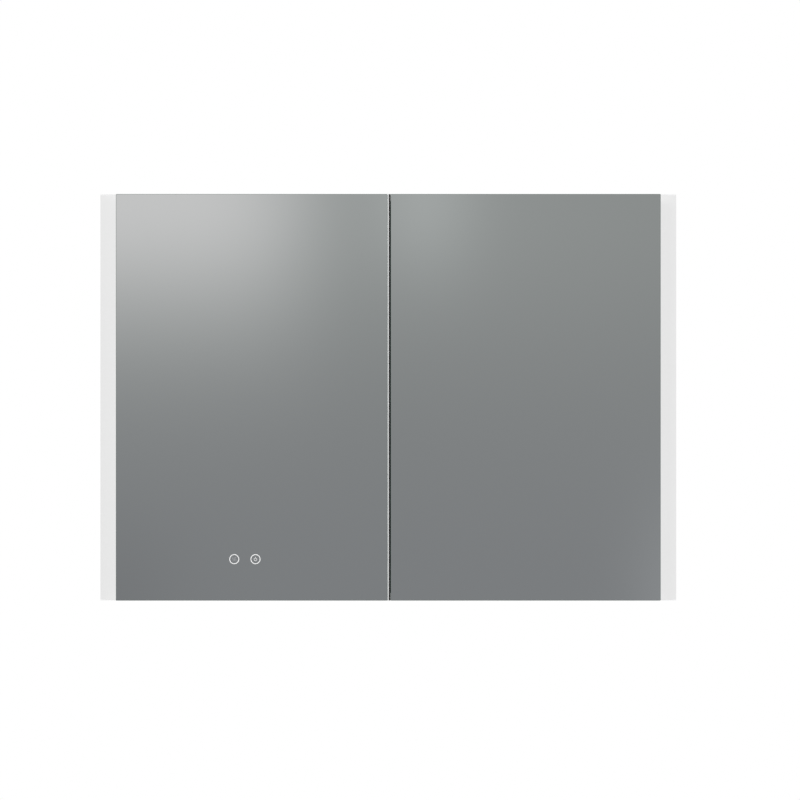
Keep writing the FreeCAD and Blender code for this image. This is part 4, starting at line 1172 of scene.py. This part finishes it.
class CABINET_OT_shelves(Operator):
    """Glass shelves with polished edges, and the steel pegs with clear pads that carry them."""
    bl_idname = "cabinet.shelves"
    bl_label = "Shelves"

    def execute(self, context):
        for end in ENDS:
            for side in SIDES:
                name = f"{end}_{side}_shelf"
                low, high = corners(name)
                glass = slab(low, high, "+z", corner=3.0 * MM, edge=0.9 * MM, steps=5)
                add_piece(f"{name}_glass", glass, "case", shelf_glass(), replaces=(name,))
        self.pegs()
        return {"FINISHED"}

    def pegs(self):
        """Each peg: a bent strip, its tab under the glass and its back on the panel, with a
        turned shank in the panel's hole, and a clear pad on the tab."""
        peg_low, peg_high = corners("shelf_pegs")
        divider = corners("centre_divider")[1][0]
        case_inner = corners("case_right_side")[0][0]
        tab, sheet, back, reach = 8.0 * MM, 2.0 * MM, 12.0 * MM, 7.0 * MM
        pad, pad_near, pad_end, pad_half = 0.3 * MM, 2.4 * MM, 0.6 * MM, 2.6 * MM
        radius, lead = 2.5 * MM, 0.6 * MM
        shank = [(0, 0), (radius, 0), (radius, reach - lead), (radius - lead, reach), (0, reach)]
        depths = (peg_low[1] + tab / 2, peg_high[1] - tab / 2)
        levels = [corners(f"{end}_left_shelf")[0][2] for end in ENDS]
        pegs = []
        pads = []
        for face, inward in ((-case_inner, 1), (-divider, -1), (divider, 1), (case_inner, -1)):
            bend, end = face + inward * sheet, face + inward * tab
            outline = filleted(
                [(face, -back), (bend, -back), (bend, -sheet), (end, -sheet), (end, -pad),
                 (face, -pad)], 0.55 * MM, steps=4)
            facing = {1: "-x", -1: "+x"}[inward]
            near, far = sorted((face + inward * pad_near, end - inward * pad_end))
            for depth in depths:
                for level in levels:
                    points, faces = extrusion(outline, "-y", -tab / 2, tab / 2)
                    pegs.append((points + (0, depth, level), faces))
                    pegs.append(lathe(shank, facing, (face, depth, level - back / 2), sectors=24))
                    pads.append(slab(
                        (near, depth - pad_half, level - pad), (far, depth + pad_half, level),
                        "+z", corner=1.2 * MM, edge=0.1 * MM))
        add_piece("spoon_pegs", merged(pegs), "case", bright_chrome(), replaces=("shelf_pegs",),
                  bevel=0.25 * MM)
        add_piece("peg_pads", merged(pads), "case", silicone())


# ---------------------------------------------------------------- metal fittings

class CABINET_OT_pivots(Operator):
    """Pivot plates with their pins, and the nylon bushes that turn on them."""
    bl_idname = "cabinet.pivots"
    bl_label = "Pivots"

    def execute(self, context):
        for end in ENDS:
            for side in SIDES:
                self.plate(end, side)
        self.pins()
        for side in SIDES:
            self.bushes(side)
        return {"FINISHED"}

    def axis_of(self, side):
        """A point on the door's pivot axis."""
        joint = next(one for one in frame["joints"] if one["name"] == f"{side}_door_pivot")
        return joint["pos_m"]

    def plate(self, end, side):
        """A foot with round corners and an arm whose nose goes half round the pivot. It is drawn
        with x counted outwards from the pivot: arcs over half and quarter turns, in order."""
        name = f"{end}_{side}_pivot_plate"
        low, high = corners(name)
        axis = self.axis_of(side)
        out = AWAY[side]
        arm, corner, throat, throat_middle = 5.0 * MM, 3.0 * MM, 1.5 * MM, 0.45 * MM
        foot, rear = low[1] + 19.0 * MM, high[1]
        inside = out * ((low[0] if out > 0 else high[0]) - axis[0])
        quarter = np.linspace(0, QUARTER, 7)
        outline = np.concatenate([
            arc((0, axis[1]), arm, -np.linspace(0, math.pi, 17)),
            [(-arm, foot - throat), (-arm - throat_middle, foot - throat_middle),
             (-arm - throat, foot)],
            arc((inside + corner, foot + corner), corner, -QUARTER - quarter),
            arc((inside + corner, rear - corner), corner, math.pi - quarter),
            arc((arm - corner, rear - corner), corner, QUARTER - quarter),
        ])
        outline = counter_clockwise(outline * (out, 1) + (axis[0], 0))
        add_piece(f"{name}_plate", extrusion(outline, "+z", low[2], high[2]), "case",
                  zinc_plate(), replaces=(name,), bevel=0.35 * MM)

    def pins(self):
        """Each pin: a domed riveted head flush in the plate, a plain shank and a tapered end."""
        low, high = corners("pivot_pins")
        radius, length, dome, lead, end = 2.5 * MM, 14.0 * MM, 0.35 * MM, 1.2 * MM, 1.6 * MM
        turn = np.linspace(0, QUARTER, 6)
        head = np.stack([radius * np.sin(turn), dome * (1 - np.cos(turn))], axis=-1)
        profile = np.concatenate([head, [(radius, length - lead), (end, length), (0, length)]])
        pins = []
        for side in SIDES:
            axis = self.axis_of(side)
            pins.append(lathe(profile, "+z", (axis[0], axis[1], low[2])))
            pins.append(lathe(profile, "-z", (axis[0], axis[1], high[2])))
        add_piece("riveted_pins", merged(pins), "case", zinc_plate(), replaces=("pivot_pins",))

    def bushes(self, side):
        """A flanged ring: its closed profile turned about the pin, with a little to spare."""
        low, high = corners(f"{side}_pivot_bushes")
        axis = self.axis_of(side)
        bore, barrel, flange = 2.56 * MM, 4.5 * MM, 6.2 * MM
        lip, length = 1.2 * MM, 13.2 * MM
        profile = filleted([
            (bore, 0), (flange, 0), (flange, lip), (barrel, lip), (barrel, length),
            (bore, length)], 0.25 * MM, steps=3)
        rings = [
            ring_lathe(profile, "+z", (axis[0], axis[1], low[2])),
            ring_lathe(profile, "-z", (axis[0], axis[1], high[2])),
        ]
        add_piece(f"{side}_nylon_bushes", merged(rings), f"{side}_door",
                  moulded("natural_nylon", (0.76, 0.75, 0.70), 0.4, Subsurface_Weight=0.1),
                  replaces=(f"{side}_pivot_bushes",))


HEAD_RADIUS, HEAD_HEIGHT = 3.4 * MM, 1.6 * MM
SHANK_RADIUS, SHANK_POINT = 1.75 * MM, 1.4 * MM
SHANK_LENGTH = 12 * MM


def screws_at(spots, facing, length=SHANK_LENGTH):
    """Pan-head screws whose heads stand on the given points and whose shanks run the other way."""
    back = facing.translate(str.maketrans("+-", "-+"))
    shank = [(0, 0), (SHANK_RADIUS, 0), (SHANK_RADIUS, length - SHANK_POINT), (0, length)]
    made = []
    for spot in spots:
        made.append(turned_mesh(pan_head(HEAD_RADIUS, HEAD_HEIGHT), facing, spot))
        made.append(lathe(shank, back, spot, sectors=20))
    return merged(made)


class CABINET_OT_screws(Operator):
    """The visible screws: pivot plates, catches, electrics cover, light channels and cleat."""
    bl_idname = "cabinet.screws"
    bl_label = "Screws"

    def execute(self, context):
        for group in ("pivot_plate", "catch", "cover", "channel", "cleat"):
            low, high = corners(f"{group}_screws")
            mesh = getattr(self, group)(low, high)
            add_piece(f"{group}_pan_heads", mesh, "case", zinc_plate(),
                      replaces=(f"{group}_screws",))
        return {"FINISHED"}

    def pivot_plate(self, low, high):
        """Two rows on each plate, heads up on the upper plates and down on the lower."""
        spots = [(x, y) for x in (low[0] + HEAD_RADIUS, high[0] - HEAD_RADIUS)
                 for y in (low[1] + HEAD_RADIUS, high[1] - HEAD_RADIUS)]
        upper = screws_at([(x, y, high[2] - HEAD_HEIGHT) for x, y in spots], "+z")
        lower = screws_at([(x, y, low[2] + HEAD_HEIGHT) for x, y in spots], "-z")
        return merged([upper, lower])

    def catch(self, low, high):
        """One through each ear of both catches."""
        inset, middle = 6 * MM, (low + high) / 2
        block_low, block_high = corners("right_magnet_catch")
        along = (block_low[0] + inset, block_high[0] - inset)
        return screws_at([
            (sign * x, middle[1], high[2] - HEAD_HEIGHT) for sign in (-1, 1) for x in along], "+z")

    def cover(self, low, high):
        """Three along the flange."""
        middle = (low + high) / 2
        across = np.linspace(low[0] + HEAD_RADIUS, high[0] - HEAD_RADIUS, 3)
        return screws_at(
            [(x, low[1] + HEAD_HEIGHT, middle[2]) for x in across], "-y", length=9.2 * MM)

    def channel(self, low, high):
        """Three through each side panel, between and beyond the shelves."""
        middle = (low + high) / 2
        inner = corners("case_right_side")[0][0]
        between = sum(corners(f"{end}_left_shelf")[0][2] for end in ENDS) / 2
        levels = (low[2] + HEAD_RADIUS, between, high[2] - HEAD_RADIUS)
        return merged([
            screws_at([(sign * inner, middle[1], level) for level in levels], facing,
                      length=19.5 * MM)
            for facing, sign in (("+x", -1), ("-x", 1))])

    def cleat(self, low, high):
        """Four along the cleat."""
        middle, reach = (low + high) / 2, high[0] - HEAD_RADIUS
        return screws_at([
            (share * reach, high[1] - HEAD_HEIGHT, middle[2]) for share in (-1, -0.25, 0.25, 1)],
            "+y", length=6.5 * MM)


class CABINET_OT_catches(Operator):
    """Magnetic catches on the case bottom, strike plates and clear bumpers on the doors."""
    bl_idname = "cabinet.catches"
    bl_label = "Catches"

    def execute(self, context):
        for side in SIDES:
            self.catch(side)
            self.strike(side)
            self.bumpers(side)
        return {"FINISHED"}

    def catch(self, side):
        """A stepped housing: ears at both ends for the screws, the magnet's two poles ahead."""
        name = f"{side}_magnet_catch"
        low, high = corners(name)
        ear, floor, proud = 12.0 * MM, 3.0 * MM, 0.6 * MM
        outline = filleted([
            (low[0], low[2]), (high[0], low[2]), (high[0], low[2] + floor),
            (high[0] - ear, low[2] + floor), (high[0] - ear, high[2]), (low[0] + ear, high[2]),
            (low[0] + ear, low[2] + floor), (low[0], low[2] + floor)], 0.7 * MM, steps=3)
        housing = extrusion(outline, "-y", -high[1], -(low[1] + proud))
        add_piece(f"{name}_housing", housing, "case",
                  moulded("satin_catch_plastic", (0.70, 0.70, 0.70), 0.42), replaces=(name,),
                  bevel=0.3 * MM)
        margin, pole_depth, pole_height, rises = 2 * MM, 6 * MM, 1.6 * MM, (4.5 * MM, 9.0 * MM)
        left, right = low[0] + ear + margin, high[0] - ear - margin
        poles = [
            slab((left, low[1], level), (right, low[1] + pole_depth, level + pole_height), "-y",
                 corner=0.4 * MM, edge=0.2 * MM)
            for level in (low[2] + rise for rise in rises)
        ]
        add_piece(f"{name}_poles", merged(poles), "case", zinc_plate())

    def strike(self, side):
        """A thin plate with a low screw head at its middle."""
        name = f"{side}_strike_plate"
        low, high = corners(name)
        head_radius, head_height = 2.6 * MM, 0.3 * MM
        face = high[1] - head_height
        thin = slab(low, (high[0], face, high[2]), "+y", corner=2.0 * MM, edge=0.25 * MM)
        middle = ((low[0] + high[0]) / 2, face - TINY, (low[2] + high[2]) / 2)
        head = turned_mesh(pan_head(head_radius, head_height), "+y", middle)
        add_piece(f"{name}_steel", merged([thin, head]), f"{side}_door", zinc_plate(),
                  replaces=(name,))

    def bumpers(self, side):
        """Low domes: the foot and its edge, then a quarter of an ellipse up to a flat top."""
        name = f"{side}_door_bumpers"
        low, high = corners(name)
        radius = (high[0] - low[0]) / 2
        height = high[1] - low[1]
        flat, foot = 0.72, 0.3
        turn = np.linspace(0, QUARTER, 9)
        dome = np.stack([
            radius * (flat + (1 - flat) * np.cos(turn)),
            height * (foot + (1 - foot) * np.sin(turn))], axis=-1)
        profile = np.concatenate([[(0, 0), (radius, 0)], dome, [(0, height)]])
        domes = [
            lathe(profile, "+y", (low[0] + radius, low[1], level), sectors=36)
            for level in (low[2] + radius, high[2] - radius)
        ]
        add_piece(f"{name}_domes", merged(domes), f"{side}_door", silicone(), replaces=(name,))


class CABINET_OT_electrics(Operator):
    """Folded cover, led driver, terminal block and cable grommet."""
    bl_idname = "cabinet.electrics"
    bl_label = "Electrics"

    def execute(self, context):
        self.cover()
        coat_node("led_driver", moulded("dark_driver_plastic", (0.035, 0.037, 0.04), 0.5))
        coat_node("terminal_block", moulded("pale_terminal_plastic", (0.70, 0.71, 0.68), 0.45))
        self.grommet()
        return {"FINISHED"}

    def cover(self):
        """A folded sheet: its section, bent twice, carried across the bay."""
        low, high = corners("electrics_cover")
        wall, flange, bend, inner_bend = 1.2 * MM, 12.0 * MM, 1.6 * MM, 0.4 * MM
        front, back, floor = low[1], high[1], low[2]
        section = filleted([
            (front, floor, bend), (back, floor, bend), (back, floor + flange, 0),
            (back - wall, floor + flange, 0), (back - wall, floor + wall, inner_bend),
            (front + wall, floor + wall, inner_bend), (front + wall, high[2], 0),
            (front, high[2], 0)])
        add_piece("folded_cover", extrusion(section, "+x", low[0], high[0]), "case",
                  powder_coat(), replaces=("electrics_cover",), bevel=0.2 * MM)

    def grommet(self):
        """A ring with two rounded flanges that grip the back panel between them."""
        low, high = corners("cable_grommet")
        radius = (high[0] - low[0]) / 2
        bore, neck, lip = 6.0 * MM, 8.0 * MM, 1.5 * MM
        length = high[1] - low[1]
        profile = [
            (bore, 0), (radius, 0), (radius, lip), (neck, lip),
            (neck, length - lip), (radius, length - lip), (radius, length), (bore, length),
        ]
        ring = ring_lathe(filleted(profile, 0.6 * MM, steps=4), "+y",
                          (low[0] + radius, low[1], low[2] + radius))
        rubber = moulded("black_rubber", (0.018, 0.018, 0.02), 0.6)
        add_piece("rubber_grommet", ring, "case", rubber, replaces=("cable_grommet",))


# ---------------------------------------------------------------- add-on

OPERATORS = (
    CABINET_OT_stage, CABINET_OT_mirrors, CABINET_OT_touch_icons, CABINET_OT_light_columns,
    CABINET_OT_case, CABINET_OT_shelves, CABINET_OT_pivots, CABINET_OT_screws, CABINET_OT_catches,
    CABINET_OT_electrics,
)


class CABINET_PT_pieces(Panel):
    """Lists the cabinet's operators and settings."""
    bl_label = "Mirror Cabinet"
    bl_space_type = "VIEW_3D"
    bl_region_type = "UI"
    bl_category = "Cabinet"

    def draw(self, context):
        for operator in OPERATORS:
            self.layout.operator(operator.bl_idname)
        for settings in (context.scene.cabinet_finish, context.scene.cabinet_stage):
            for name in settings.__annotations__:
                self.layout.prop(settings, name)


CLASSES = (CabinetFinish, CabinetStage, *OPERATORS, CABINET_PT_pieces)


def register():
    """Make the classes and their settings known to Blender."""
    for one in CLASSES:
        bpy.utils.register_class(one)
    bpy.types.Scene.cabinet_finish = PointerProperty(type=CabinetFinish)
    bpy.types.Scene.cabinet_stage = PointerProperty(type=CabinetStage)


def unregister():
    """Take them out again, in the opposite order."""
    del bpy.types.Scene.cabinet_stage
    del bpy.types.Scene.cabinet_finish
    for one in reversed(CLASSES):
        bpy.utils.unregister_class(one)


def main():
    """Build every group round the frame."""
    register()
    for operator in OPERATORS:
        family, name = operator.bl_idname.split(".")
        getattr(getattr(bpy.ops, family), name)()


if __name__ == "__main__":
    main()
